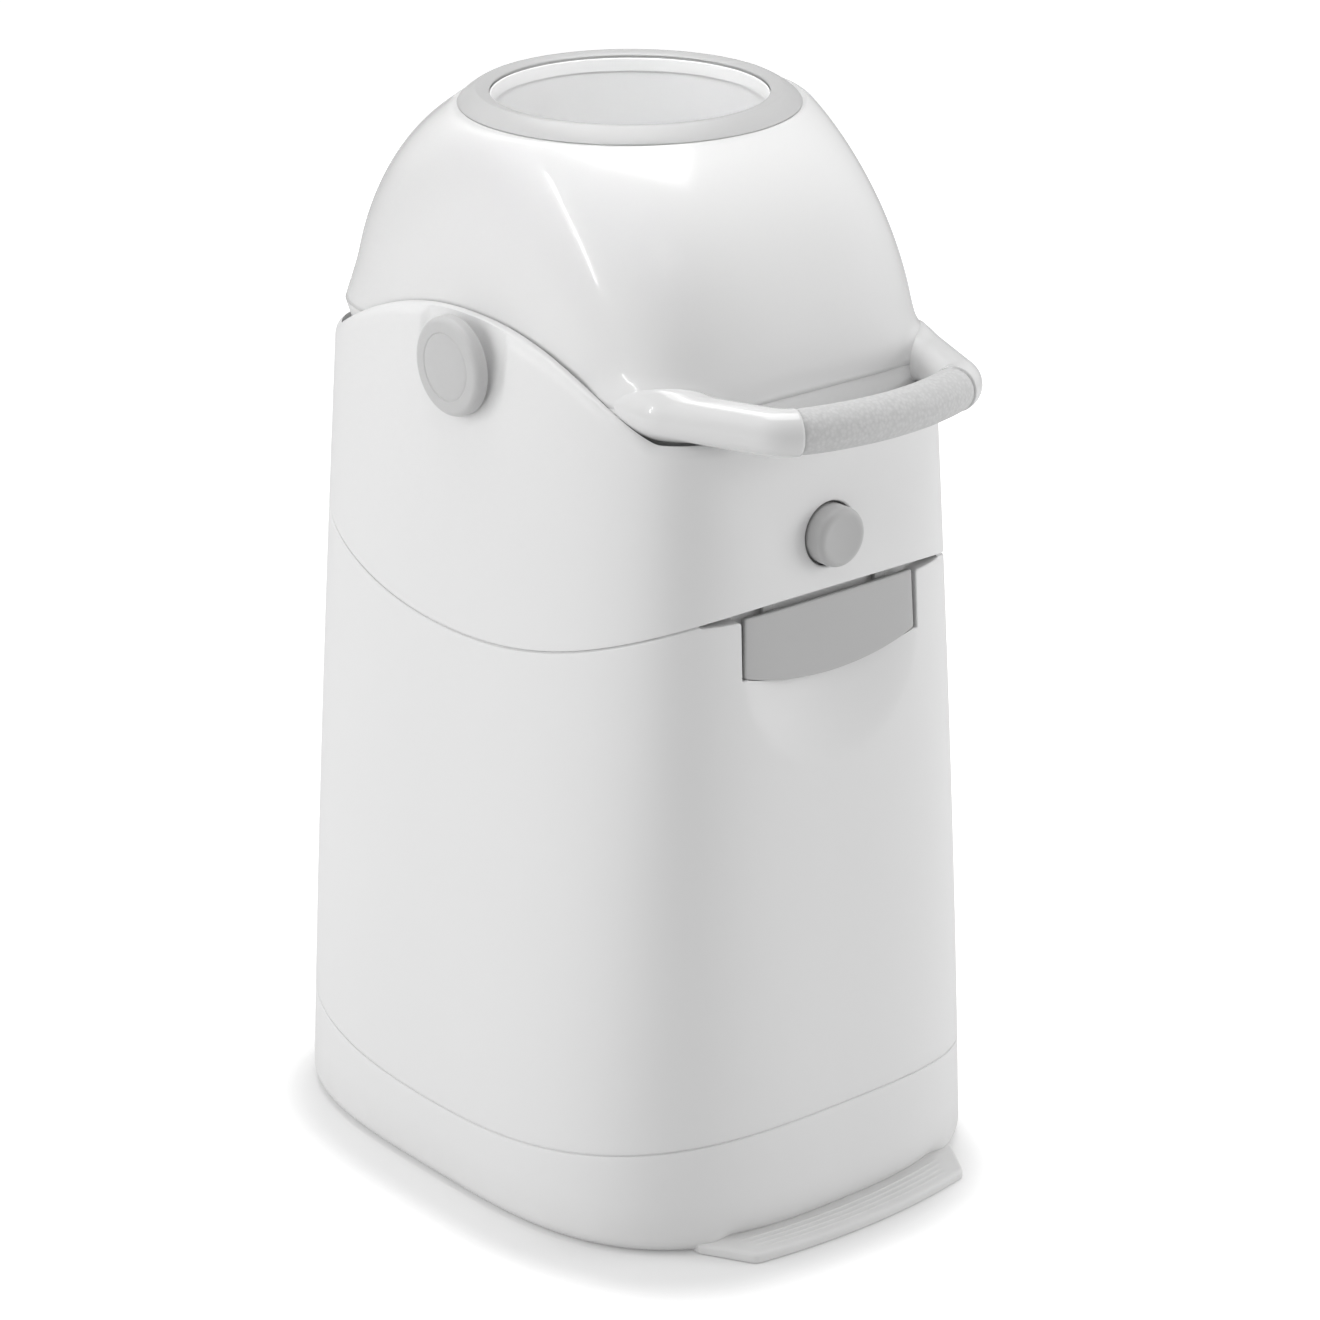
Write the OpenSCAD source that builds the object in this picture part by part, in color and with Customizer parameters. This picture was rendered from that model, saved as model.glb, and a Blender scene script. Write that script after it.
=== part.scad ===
// Nappy bin with a turning drum: a weighted piston inside the drum pushes each
// nappy through as the handle carries the drum over the top by half a turn.
// Frame: origin at the floor under the middle of the bin, +Z up, the front
// (foot plate, latch and handle) faces -Y, the drum turns about the X direction.

/* [Overall] */
// Height from the floor to the crest of the opening ring
total_h = 623.5; // [620:0.5:625]
// Wall thickness of the moulded shells
wall = 3; // [2.4:0.1:3.6]

/* [Body plan] */
// Width of the outer wall, carried down to the floor
base_w = 312.4; // [306:0.1:320]
// Depth of the outer wall, carried down to the floor
base_d = 388.4; // [380:0.1:396]
// Room from the drum's end to the outer wall, at the reference height
neck_side_room = 11; // [10:0.1:14]
// Room from the drum's rim to the outer wall at front and back, at the reference height
neck_end_room = 5.8; // [5:0.1:8]
// Reference height of the two rooms above the turning axis
neck_rise = 12.5; // [5:0.5:20]
// Roundness exponent across the width, at the floor
front_pow_base = 2.7; // [2.5:0.1:3.2]
// Roundness exponent across the width, at the reference height
front_pow_neck = 5.7; // [5:0.1:6]
// Roundness exponent along the depth, at the floor
side_pow_base = 3.4; // [3:0.1:3.8]
// Roundness exponent along the depth, at the reference height
side_pow_neck = 2.9; // [2.8:0.1:3.2]

/* [Seams] */
// Lowest height of the seam between plinth and body
plinth_seam_z = 46.5; // [42:0.5:52]
// Rise of the plinth seam toward front and back, per mm of depth squared
plinth_seam_rise = 0.00064; // [0.0004:0.00001:0.0008]
// Depth of the head seam's lowest point below the turning axis
head_seam_drop = 153.2; // [150:0.1:155]
// Rise of the head seam toward front and back, per mm of depth squared
head_seam_rise = 0.0014; // [0.0013:0.00001:0.0015]
// Open width of each seam
seam_gap = 0.8; // [0.6:0.1:1.2]

/* [Plinth and foot] */
// Inset of the plinth's rolled bottom edge
plinth_roll = 9.6; // [6:0.1:12]
// Half width of the foot plate at its front corners
foot_half_w = 79.6; // [70:0.1:90]
// Half width of the foot plate where it leaves the plinth
foot_root_half_w = 97; // [90:0.1:104]
// Reach of the foot plate in front of the drum axis, at its corners
foot_reach = 206.2; // [202:0.1:212]
// Extra reach of the foot plate's bowed front edge
foot_bow = 7.5; // [4:0.1:10]
// Thickness of the foot plate
foot_t = 5.4; // [4:0.1:6]
// Depth of the rubber pads let into the plinth's underside
feet_h = 1.6; // [1:0.1:2]

/* [Head] */
// Depth of the head's rim below the turning axis, at front and back
rim_drop = 15; // [13:0.5:17]
// Extra height of the rim's arch over the drum axis
arch_rise = 42.5; // [38:0.5:46]
// Half length of the arch along the depth
arch_half = 142; // [138:1:148]
// Roll of the rim's edge
rim_roll = 7; // [5:0.5:8]
// Half width of the pocket round each cap
pocket_half = 38; // [35:0.5:40]
// Depth of the pocket at the top of the arch
pocket_depth = 4; // [3:0.1:4.2]

/* [Drum] */
// Radius of the drum about its turning axis
drum_r = 160; // [158:0.5:160.5]
// Half width of the drum along its turning axis
drum_half_w = 108.5; // [107:0.1:109]
// Roundness exponent of the drum's plan above its belt
drum_pow = 4.4; // [4:0.1:5]
// Roundness exponent of the drum's squarer belt, where the handle's arms leave it
belt_pow = 5.5; // [5:0.1:6]
// Height of the squarer belt above and below the axis
belt_h = 30; // [20:1:40]
// Radius of the opening in the ring
opening_r = 77.4; // [74:0.1:79]
// Outer radius of the ring
ring_r = 95.7; // [94:0.1:96.5]
// Height of the ring's crest above its outer edge
ring_h = 7.8; // [7:0.1:8]
// Drop from the ring's crest to its inner edge
ring_dip = 2.6; // [2:0.1:4]
// Running gap between the drum and the head
drum_gap = 2; // [1.6:0.1:2.4]
// Radius of the drum's trunnions
trunnion_r = 18; // [15:0.5:20]
// Radius of the side caps
cap_r = 28.1; // [26:0.1:29]
// Thickness of the side caps
cap_t = 8.4; // [7:0.1:10]
// Thickness of the piston
piston_h = 38; // [30:1:50]

/* [Handle] */
// Angle of the handle's arms to the drum's axis, as they leave the drum
arm_angle = 68; // [66:1:72]
// Radius of the bend between the grip and each arm
arm_bend = 18; // [15:0.5:22]
// Radius of the arms
arm_r = 12.8; // [12:0.1:13]
// Radius of the bend where each arm leaves the drum
root_bend = 40; // [30:1:50]
// Distance of that bend behind the drum's front
root_inset = 32; // [28:0.5:36]
// Distance from the drum's front to the middle of the grip
grip_room = 56; // [50:0.5:62]
// Bend radius of the grip
grip_bend = 169; // [160:1:180]
// Half width of the grip at its ends
grip_half_w = 57; // [52:0.5:62]
// Outer radius of the grip
grip_r = 12.4; // [11:0.1:12.8]

/* [Latch] */
// Half width of the latch flap
flap_half_w = 61; // [56:0.5:63]
// Height of the flap at its sides
flap_side_h = 34; // [30:0.5:38]
// Extra height of the flap in its middle
flap_bow = 11; // [6:0.5:13]
// Half width of the recess at the seam
recess_top_half_w = 87; // [82:0.5:88]
// Half width of the recess beside the flap
recess_half_w = 70; // [66:0.5:72]

/* [Button] */
// Depth of the button's centre below the turning axis
button_drop = 79.5; // [77:0.5:82]
// Radius of the button
button_r = 17; // [15:0.1:17.5]
// Stand-out of the button's face in front of the wall
button_out = 10.5; // [8:0.5:11]
// Stroke of the button
button_stroke = 4; // [3:0.5:4.5]

/* [Quality] */
// Points round each moulded shell
around = 64; // [48:8:96]
// Facets of round parts
$fn = 96; // [48:8:128]

/* [Hidden] */

WHITE = "#f1f2f3";
LIGHT_GREY = "#b9bdc1";
MID_GREY = "#9fa3a8";
RUBBER = "#4b4e52";
STEEL = "#b8bcc2";

eps = 0.01;
run_fit = 0.05;                       // radial clearance of a shaft in its bore
seat = 0.3;                           // clearance of a piece from its seat
big = 2 * total_h;                    // larger than the whole bin

// ---- heights that follow the drum ---------------------------------------

// The ring's edge lies on the drum's radius, kept to a tenth of a millimetre.
ring_edge_h = round(10 * sqrt(drum_r * drum_r - ring_r * ring_r)) / 10;
crest_h = ring_edge_h + ring_h;               // ring's crest above the axis
pivot_z = total_h - crest_h;
neck_z = pivot_z + neck_rise;
neck_w = 2 * (drum_half_w + neck_side_room);
neck_d = 2 * (drum_r + neck_end_room);
head_seam_z = pivot_z - head_seam_drop;
rim_z = pivot_z - rim_drop;
button_z = pivot_z - button_drop;
grip_reach = drum_r + grip_room;
root_y = drum_r - root_inset;

// ---- plan of the outer wall ---------------------------------------------

function mix(a, b, u) = a + (b - a) * u;
function spow(v, p) = sign(v) * pow(abs(v), p);
function half_w(z) = mix(base_w, neck_w, z / neck_z) / 2;
function half_d(z) = mix(base_d, neck_d, z / neck_z) / 2;
function pow_x(z) = mix(front_pow_base, front_pow_neck, z / neck_z);
function pow_y(z) = mix(side_pow_base, side_pow_neck, z / neck_z);
function turn(i) = 360 * i / around;

// One point of a rounded rectangle with its own exponent on each axis, at turn t.
// The first step spreads the points evenly round the outline.
function plan_pt(a, b, nx, ny, t) = let (m = (nx + ny) / 4, u = atan2(spow(sin(t), m), spow(cos(t), m)))
    [a * spow(cos(u), 2 / nx), b * spow(sin(u), 2 / ny)];
// One point of the outer wall at height z, moved in by inset.
function wall_pt(t, z, inset = 0) =
    plan_pt(half_w(z) - inset, half_d(z) - inset, pow_x(z), pow_y(z), t);
function wall_y(t, z) = wall_pt(t, z)[1];
function at_z(p, z) = [p[0], p[1], z];

// Heights that follow the depth: the two seams and the arched rim.
function plinth_seam(y) = plinth_seam_z + plinth_seam_rise * y * y;
function head_seam(y) = head_seam_z + head_seam_rise * y * y;
function arch(y) = pow(max(0, 1 - pow(abs(y) / arch_half, 2.2)), 1.15);
function rim(y) = rim_z + arch_rise * arch(y);

// Rings of points on the outer wall, at a level or along a seam.
function body_z(u) = mix(plinth_seam_z, head_seam_z, u);
function level_ring(z, inset = 0) =
    [for (i = [0:around - 1]) at_z(wall_pt(turn(i), z, inset), z)];
function plinth_seam_ring(lift, inset = 0) = [for (i = [0:around - 1])
    let (t = turn(i), z = plinth_seam(wall_y(t, plinth_seam_z)) + lift)
    at_z(wall_pt(t, z, inset), z)];
function head_seam_ring(lift, inset = 0) = [for (i = [0:around - 1])
    let (t = turn(i), z = head_seam(wall_y(t, head_seam_z)) + lift)
    at_z(wall_pt(t, z, inset), z)];

// Skin through a list of rings, closed either round the list or by end faces.
module skin(rings, loop = false) {
    n = len(rings[0]);
    m = len(rings);
    sides = [for (i = [0:m - (loop ? 1 : 2)], j = [0:n - 1])
        let (a = i * n + j, b = i * n + (j + 1) % n,
             c = ((i + 1) % m) * n + (j + 1) % n, d = ((i + 1) % m) * n + j)
        each [[a, d, c], [a, c, b]]];
    ends = loop ? [] : [[for (j = [0:n - 1]) j], [for (j = [0:n - 1]) m * n - 1 - j]];
    polyhedron(points = [for (r = rings) each r], faces = concat(sides, ends), convexity = 8);
}

// A cylinder along X or Y, from a low to a high coordinate.
module x_rod(x0, x1, r) { translate([x0, 0, 0]) rotate([0, 90, 0]) cylinder(h = x1 - x0, r = r); }
module y_rod(y0, y1, r) { translate([0, y0, 0]) rotate([-90, 0, 0]) cylinder(h = y1 - y0, r = r); }
module at_pivot() { translate([0, 0, pivot_z]) children(); }
module both_sides() { children(); mirror([1, 0, 0]) children(); }

// ---- plinth, foot plate and feet ----------------------------------------

plinth_low = 0;                               // underside of the plinth
foot_low = plinth_low + 0.2;
foot_top = foot_low + foot_t;
bin_floor_z = plinth_seam(half_d(plinth_seam_z)) + wall;

// Ring of the plinth's rolled bottom edge, from the floor (u = 0) up to the wall (u = 90).
function roll_ring(u, inset = 0, up = 0) = level_ring(
    plinth_low + up + plinth_roll * (1 - cos(u)), inset + plinth_roll * (1 - sin(u)) * 0.9);

// Outline of the foot plate, bowed in front, wider where it leaves the plinth.
module foot_outline(grow = 0) {
    bow_r = (pow(foot_half_w, 2) + pow(foot_bow, 2)) / (2 * foot_bow);
    offset(r = 4 + grow) offset(delta = -4)
        intersection() {
            polygon([[-foot_half_w, -foot_reach - foot_bow], [foot_half_w, -foot_reach - foot_bow],
                     [foot_half_w + 1, -foot_reach + 2], [foot_root_half_w, -half_d(0) + 18],
                     [foot_root_half_w, -half_d(0) + 62], [-foot_root_half_w, -half_d(0) + 62],
                     [-foot_root_half_w, -half_d(0) + 18], [-foot_half_w - 1, -foot_reach + 2]]);
            translate([0, -foot_reach - foot_bow + bow_r]) circle(r = bow_r, $fn = 180);
        }
}

module base_plinth() {
    rib_t = 2.4;
    color(WHITE) difference() {
        union() {
            skin([roll_ring(0), roll_ring(30), roll_ring(60), roll_ring(90), plinth_seam_ring(-seam_gap / 2),
                  plinth_seam_ring(-seam_gap / 2, wall), roll_ring(90, wall, wall), roll_ring(60, wall, wall),
                  roll_ring(30, wall, wall), roll_ring(0, wall, wall), roll_ring(0, wall + 1)], loop = true);
            skin([roll_ring(0, wall - 1), level_ring(plinth_low + wall + 0.1, wall + plinth_roll * 0.9 - 1)]);
            intersection() {
                skin([roll_ring(0, wall / 2), roll_ring(30, wall / 2), roll_ring(60, wall / 2),
                      roll_ring(90, wall / 2), level_ring(plinth_low + plinth_roll + 20, wall / 2)]);
                for (x = [-1, 0, 1]) translate([x * base_w / 4 - rib_t / 2, -base_d / 2, 0.5])
                    cube([rib_t, base_d, plinth_low + wall + 14]);
            }
        }
        translate([0, 0, -1]) linear_extrude(foot_top + seat + 1) foot_outline(seat);
        feet_places() translate([0, 0, -1]) cylinder(h = 1 + feet_h, r = feet_r + 0.1);
        screw_places() cylinder(h = 20, r = screw_r + 0.05);
    }
}

feet_r = 11;
module feet_places() {
    for (x = [-1, 1], y = [-1, 1])
        translate([x * half_w(0) * 0.62, y > 0 ? half_d(0) * 0.70 : -half_d(0) * 0.62, 0]) children();
}

screw_r = 2;
screw_head_r = 4;
module screw_places() {
    for (x = [-1, 0, 1]) translate([x * foot_half_w * 0.7, -half_d(0) + 46, 0]) children();
}

module foot_plate() {
    tread = 4;                                 // number of raised treads
    color(WHITE) difference() {
        union() {
            translate([0, 0, foot_low]) linear_extrude(foot_t) foot_outline();
            for (i = [0:tread - 1]) intersection() {
                translate([0, 0, foot_low]) linear_extrude(foot_t + 0.7) foot_outline(-3);
                translate([0, -foot_reach - foot_bow + tread_r(i), foot_top - 1]) difference() {
                    cylinder(h = 1.7, r = tread_r(i) - 4 - 4.5 * i, $fn = 180);
                    translate([0, 0, -1]) cylinder(h = 4, r = tread_r(i) - 6 - 4.5 * i, $fn = 180);
                    translate([-big / 2, -tread_r(i) / 2, -1]) cube([big, big, 4]);
                }
            }
        }
        screw_places() {
            cylinder(h = 20, r = screw_r + 0.3);
            translate([0, 0, foot_low - 1]) cylinder(h = 1 + 2.4, r = screw_head_r + 0.3);
        }
    }
}
function tread_r(i) = (pow(foot_half_w, 2) + pow(foot_bow, 2)) / (2 * foot_bow);

module foot_screws() {
    color(STEEL) screw_places() difference() {
        union() {
            translate([0, 0, foot_low + 0.4]) cylinder(h = 2, r = screw_head_r, $fn = 32);
            translate([0, 0, foot_low + 1]) cylinder(h = foot_t + wall + 4, r = screw_r, $fn = 32);
        }
        for (a = [0, 90]) rotate(a) translate([-2.2, -0.5, foot_low]) cube([4.4, 1, 1.3]);
    }
}

module rubber_feet() {
    color(RUBBER) feet_places() cylinder(h = feet_h, r = feet_r, $fn = 48);
}

// ---- bin body -----------------------------------------------------------

head_seam_front = head_seam(half_d(head_seam_z) * 0.96);
recess_depth = 9.4;                           // depth of the latch recess
flap_gap = 0.8;                               // gap between the flap's lower edge and the recess
recess_floor_y = -half_d(head_seam_front) + recess_depth;
flap_top_z = head_seam_front - seam_gap / 2 - 2.6;
scoop_r = 200;
scoop_z = head_seam_front - 24;

// Outline of the latch recess: a wide slit under the seam over a tapered well.
module recess_outline() {
    slit = 3;
    top = head_seam_front + 20;
    low = flap_top_z - flap_side_h;
    offset(r = -2) offset(delta = 2) union() {
        polygon([[-recess_half_w, top], [recess_half_w, top], [recess_half_w - 3, low], [-recess_half_w + 3, low]]);
        offset(delta = flap_gap) flap_outline();
        translate([-recess_top_half_w, head_seam_front - slit]) square([2 * recess_top_half_w, top - head_seam_front]);
    }
}

// Shallow bowl that fingertips reach into under the flap.
module scoop_bowl(grow) {
    skin([for (r = [102:-18:12]) [for (i = [0:29]) [r * cos(12 * i),
        recess_floor_y + grow - 0.4 - scoop_r + sqrt(scoop_r * scoop_r - r * r), scoop_z - r * sin(12 * i)]]]);
}

// The latch recess and the finger scoop under it, as one cutter.
module recess_cutter(grow = 0) {
    translate([0, recess_floor_y + grow, 0]) rotate([90, 0, 0])
        linear_extrude(60) offset(delta = grow) recess_outline();
    scoop_bowl(grow);
}

hinge_y = half_d(head_seam_front) + 8.5;      // hinge axis behind the back wall
hinge_z = head_seam_front;
hinge_r = 6;
hinge_pin_r = 2.5;
knuckle_in = 21;                              // half length of the head's knuckle
knuckle_out = 40;

module hinge_knuckle(x0, x1, up) {
    difference() {
        union() {
            translate([0, hinge_y, hinge_z]) x_rod(x0, x1, hinge_r);
            translate([x0, hinge_y - hinge_r - 5, up ? hinge_z + 4 : hinge_z - 13])
                cube([x1 - x0, hinge_r + 5, up ? 9 : 11]);
        }
        translate([0, hinge_y, hinge_z]) x_rod(x0 - 1, x1 + 1, hinge_pin_r + run_fit);
    }
}

module bin_body() {
    floor_rings = [level_ring(bin_floor_z, wall * 0.5), level_ring(bin_floor_z + wall, wall * 0.5)];
    color(WHITE) difference() {
        union() {
            skin([plinth_seam_ring(seam_gap / 2), level_ring(body_z(0.33)), level_ring(body_z(0.64)), head_seam_ring(-30),
                  head_seam_ring(-seam_gap / 2), head_seam_ring(-seam_gap / 2, wall),
                  head_seam_ring(-30, wall), level_ring(body_z(0.64), wall), level_ring(body_z(0.33), wall),
                  plinth_seam_ring(seam_gap / 2, wall)], loop = true);
            skin(floor_rings);
            intersection() {
                skin([level_ring(body_z(0.67)), head_seam_ring(-30), head_seam_ring(-seam_gap / 2)]);
                recess_cutter(wall);
            }
            for (s = [0, 1]) mirror([s, 0, 0]) hinge_knuckle(knuckle_in + 0.5, knuckle_out, false);
        }
        recess_cutter();
        translate([-hook_half_w - 1, recess_floor_y - 1, hook_z - 1.5]) cube([2 * hook_half_w + 2, 10, 8.5]);
    }
}

module rim_seal() {
    color(RUBBER) difference() {
        skin([head_seam_ring(-9, wall + seat), head_seam_ring(-4, wall + seat),
              head_seam_ring(-4, wall + seat + 2), head_seam_ring(-9, wall + seat + 2)], loop = true);
        translate([-recess_top_half_w - 6, -base_d, 0]) cube([2 * recess_top_half_w + 12, base_d * 0.6, big]);
    }
}

module hinge_pin() {
    color(STEEL) translate([0, hinge_y, hinge_z]) x_rod(-knuckle_out - 1, knuckle_out + 1, hinge_pin_r);
}

// ---- head ---------------------------------------------------------------

ledge_z = rim_z - 6;                          // ledge that the drum cradle seats against
mouth_a = drum_half_w + drum_gap;             // inside of the rim, round the drum
mouth_b = drum_r + drum_gap + 0.2;
cradle_gap = 1.7;
cradle_t = 2;
well_step = 2.5;
sleeve_r = button_r + 3;

function mouth_pt(t, grow) = plan_pt(mouth_a + grow, mouth_b + grow, belt_pow, belt_pow, t);
function mouth_ring(z, grow = 0) = [for (i = [0:around - 1]) at_z(mouth_pt(turn(i), grow), z)];

// The rim rolls from the outer wall over to the edge of the drum's mouth.
function rim_ring(u) = [for (i = [0:around - 1])
    let (t = turn(i), k = 0.8 * (1 - cos(u)), y = mix(wall_y(t, rim_z), mouth_pt(t, 0)[1], k),
         z = rim(y) - rim_roll * (1 - sin(u)))
    at_z(mix(wall_pt(t, z), mouth_pt(t, 0), k), z)];
function rim_edge_ring() = [for (i = [0:around - 1])
    let (p = mouth_pt(turn(i), 0)) at_z(p, rim(p[1]) - 0.6)];
function head_mid_ring(u) = [for (i = [0:around - 1])
    let (t = turn(i), y = wall_y(t, rim_z), z = mix(head_seam(y), rim(y) - rim_roll, u))
    at_z(wall_pt(t, z), z)];

module head_shell() {
    skin([head_seam_ring(seam_gap / 2), head_mid_ring(0.35), head_mid_ring(0.7), rim_ring(0),
          rim_ring(30), rim_ring(60), rim_ring(90), rim_edge_ring(), mouth_ring(ledge_z),
          mouth_ring(ledge_z, well_step), mouth_ring(ledge_z - 22, well_step),
          level_ring(ledge_z - 40, wall), head_seam_ring(seam_gap / 2, wall)], loop = true);
}

// Tongue under the head's edge that drops inside the bin's mouth.
module head_tongue() {
    off = wall + seat + 0.5;
    skin([head_seam_ring(-3, off), head_seam_ring(seam_gap / 2 + 8, off - 1.2),
          head_seam_ring(seam_gap / 2 + 8, off + 1.6), head_seam_ring(-3, off + 1.6)], loop = true);
}

// The pocket's floor leans back from the wall, so its depth fades out below the cap.
module cap_pocket() {
    low_z = pivot_z - cap_r;
    top_z = rim_z + arch_rise;
    lean = atan((half_w(low_z) - half_w(top_z) + pocket_depth) / (top_z - low_z));
    translate([half_w(low_z), 0, low_z]) rotate([0, -lean, 0]) {
        translate([0, 0, cap_r]) x_rod(0, 40, pocket_half);
        translate([0, -pocket_half, cap_r]) cube([40, 2 * pocket_half, 80]);
    }
}

module trunnion_bore() {
    at_pivot() x_rod(drum_half_w - 4, drum_half_w + 40, trunnion_r + run_fit);
}

latch_y = -half_d(head_seam_front) + 8.6;     // latch pivot, inside the head's front edge
latch_z = head_seam_front + 7;
latch_pin_r = 1.5;
ear_in = 46;
ear_out = 50;

module latch_ears() {
    both_sides() difference() {
        union() {
            translate([0, latch_y, latch_z]) x_rod(ear_in, ear_out, 4);
            translate([ear_in, latch_y - 6.4, latch_z - 4]) cube([ear_out - ear_in, 6.4, 14]);
        }
        translate([0, latch_y, latch_z]) x_rod(ear_in - 1, ear_out + 1, latch_pin_r + 0.02);
    }
}

module head_housing() {
    sleeve_back = -half_d(button_z) + 14.5;
    color(WHITE) difference() {
        union() {
            head_shell();
            difference() {
                head_tongue();
                translate([-recess_top_half_w - 6, -base_d, 0]) cube([2 * recess_top_half_w + 12, base_d * 0.6, big]);
                translate([-knuckle_out - 4, base_d * 0.3, 0]) cube([2 * knuckle_out + 8, base_d, head_seam_front]);
            }
            translate([0, 0, button_z]) y_rod(-half_d(button_z) + 1.5, sleeve_back, sleeve_r);
            intersection() {
                latch_ears();
                skin([level_ring(head_seam_z - 34), level_ring(head_seam_z + 106)]);
            }
            hinge_knuckle(-knuckle_in, knuckle_in, true);
        }
        both_sides() { cap_pocket(); trunnion_bore(); }
        translate([0, 0, button_z]) {
            y_rod(-half_d(button_z) + 2.9, sleeve_back + 1, button_r + run_fit);
            y_rod(-base_d, -half_d(button_z) + 3, button_r + 1.25);
        }
        translate([0, hinge_y, hinge_z]) x_rod(-knuckle_in - 1, knuckle_in + 1, hinge_pin_r + run_fit);
    }
}

// Solid swept by the turning drum, grown by g: a barrel about the X direction.
function barrel_profile(g) = let (n = 40, a = drum_half_w + g, b = drum_r + g)
    [for (i = [0:n]) let (t = 180 * i / n) [b * pow(sin(t), 2 / belt_pow), a * spow(cos(t), 2 / belt_pow)]];
module barrel(g) { at_pivot() rotate([0, 90, 0]) rotate_extrude($fn = 144) polygon(barrel_profile(g)); }

drop_r = opening_r + 7;                       // hole under the drum
collar_t = 3;
cradle_top = ledge_z;

module drum_cradle() {
    color(WHITE) difference() {
        intersection() {
            barrel(cradle_gap + cradle_t);
            translate([-big / 2, -big / 2, 0]) cube([big, big, cradle_top]);
        }
        barrel(cradle_gap);
        cylinder(h = pivot_z, r = drop_r + collar_t + 0.05);
    }
}

module drop_collar() {
    low_z = pivot_z - drum_r - 12;
    color(RUBBER) difference() {
        translate([0, 0, low_z]) cylinder(h = drum_r / 2, r = drop_r + collar_t);
        translate([0, 0, low_z - 1]) cylinder(h = drum_r / 2 + 2, r = drop_r);
        barrel(cradle_gap + 0.2);
    }
}

sleeve_end = -half_d(button_z) + 14.5;
stem_r = 4;
module button_retainer() {
    color(WHITE) translate([0, 0, button_z]) difference() {
        y_rod(sleeve_end, sleeve_end + 2, sleeve_r);
        y_rod(sleeve_end - 1, sleeve_end + 3, stem_r + run_fit);
    }
}

// ---- lock button --------------------------------------------------------

button_face = -half_d(button_z) - button_out;

module lock_button() {
    edge = 4;
    rim_t = 2.4;
    dish_r = 110;
    color(MID_GREY) translate([0, button_face, button_z]) rotate([-90, 0, 0])
        rotate_extrude() difference() {
            union() {
                square([button_r, 18]);
                square([stem_r, sleeve_end - button_face + 4]);
            }
            difference() {
                translate([button_r - edge, -eps]) square([edge + 1, edge + eps]);
                translate([button_r - edge, edge]) circle(r = edge, $fn = 48);
            }
            translate([stem_r + 1, 3]) square([button_r - rim_t - stem_r - 1, 20]);
            translate([stem_r, 3]) square([1 + eps, 20]);
            translate([0, -dish_r + 0.7]) circle(r = dish_r, $fn = 180);
        }
}

module button_spring() {
    coil_r = 8;
    wire_r = 0.7;
    turns = 4;
    sides = 6;
    per_turn = 16;
    y0 = button_face + 3.1 + wire_r;
    y1 = sleeve_end - 0.1 - wire_r;
    rings = [for (i = [0:turns * per_turn])
        let (a = 360 * i / per_turn, y = mix(y0, y1, i / (turns * per_turn)))
        [for (j = [0:sides - 1]) let (b = -360 * j / sides, r = coil_r + wire_r * cos(b))
            [r * cos(a), y + wire_r * sin(b), button_z + r * sin(a)]]];
    color(STEEL) skin(rings);
}

// ---- latch --------------------------------------------------------------

hook_half_w = 18;
hook_z = flap_top_z - 18;
flap_out = -half_d(flap_top_z) + 0.6;         // outer face of the flap
flap_t = 3;

module flap_outline() {
    bow_r = (pow(flap_half_w, 2) + pow(flap_bow, 2)) / (2 * flap_bow);
    offset(r = 3) offset(delta = -3) intersection() {
        translate([-flap_half_w, flap_top_z - flap_side_h - flap_bow])
            square([2 * flap_half_w, flap_side_h + flap_bow]);
        translate([0, flap_top_z - flap_side_h - flap_bow + bow_r]) circle(r = bow_r, $fn = 180);
    }
    translate([-flap_half_w, flap_top_z - 8]) square([2 * flap_half_w, 8]);
}

module latch_flap() {
    arm_t = 3.4;
    color(MID_GREY) difference() {
        union() {
            intersection() {
                translate([0, flap_out + 40, 0]) rotate([90, 0, 0]) linear_extrude(80) flap_outline();
                skin([level_ring(head_seam_z - 84, 0.6), level_ring(head_seam_z + 86, 0.6)]);
                translate([0, flap_out + flap_t - 100, 0]) translate([-big / 2, -0, 0]) cube([big, 100, big]);
            }
            translate([-ear_in + 1, flap_out + 1, flap_top_z - 3])
                cube([2 * ear_in - 2, latch_y - flap_out - 0.8, 3]);
            translate([-ear_in + 1, latch_y - arm_t + 0.2, flap_top_z - 3])
                cube([2 * ear_in - 2, arm_t, latch_z - flap_top_z + 3]);
            translate([0, latch_y, latch_z]) x_rod(-ear_in + 0.5, ear_in - 0.5, 3.5);
            translate([-hook_half_w, flap_out + flap_t - 1, hook_z])
                cube([2 * hook_half_w, recess_floor_y - flap_out + 1.2, 4]);
        }
        translate([0, latch_y, latch_z]) x_rod(-ear_in - 1, ear_in + 1, latch_pin_r + run_fit);
    }
}

module latch_pin() {
    color(STEEL) translate([0, latch_y, latch_z]) x_rod(-ear_out, ear_out, latch_pin_r);
}

// ---- drum ---------------------------------------------------------------

shell_top_h = ring_edge_h - 0.5;
shell_t = 2.5;
arm_root_y = 28 - root_y;                     // depth to which the arms reach into the drum
tube_r = opening_r + 0.6;
tube_t = 2.5;
lip_r = tube_r + tube_t + seat;               // hole in the dome, round the tube
spigot_r = opening_r - 1.4;                   // inside of the ring's spigot, which stops the piston
flange_h = shell_top_h - 2.4;
// Levels of the dome's skin, closer together toward the ring.
shell_levels = [for (i = [0:9]) i == 0 ? 0.1 : shell_top_h * sin(90 * pow(i / 10, 0.9))];

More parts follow.
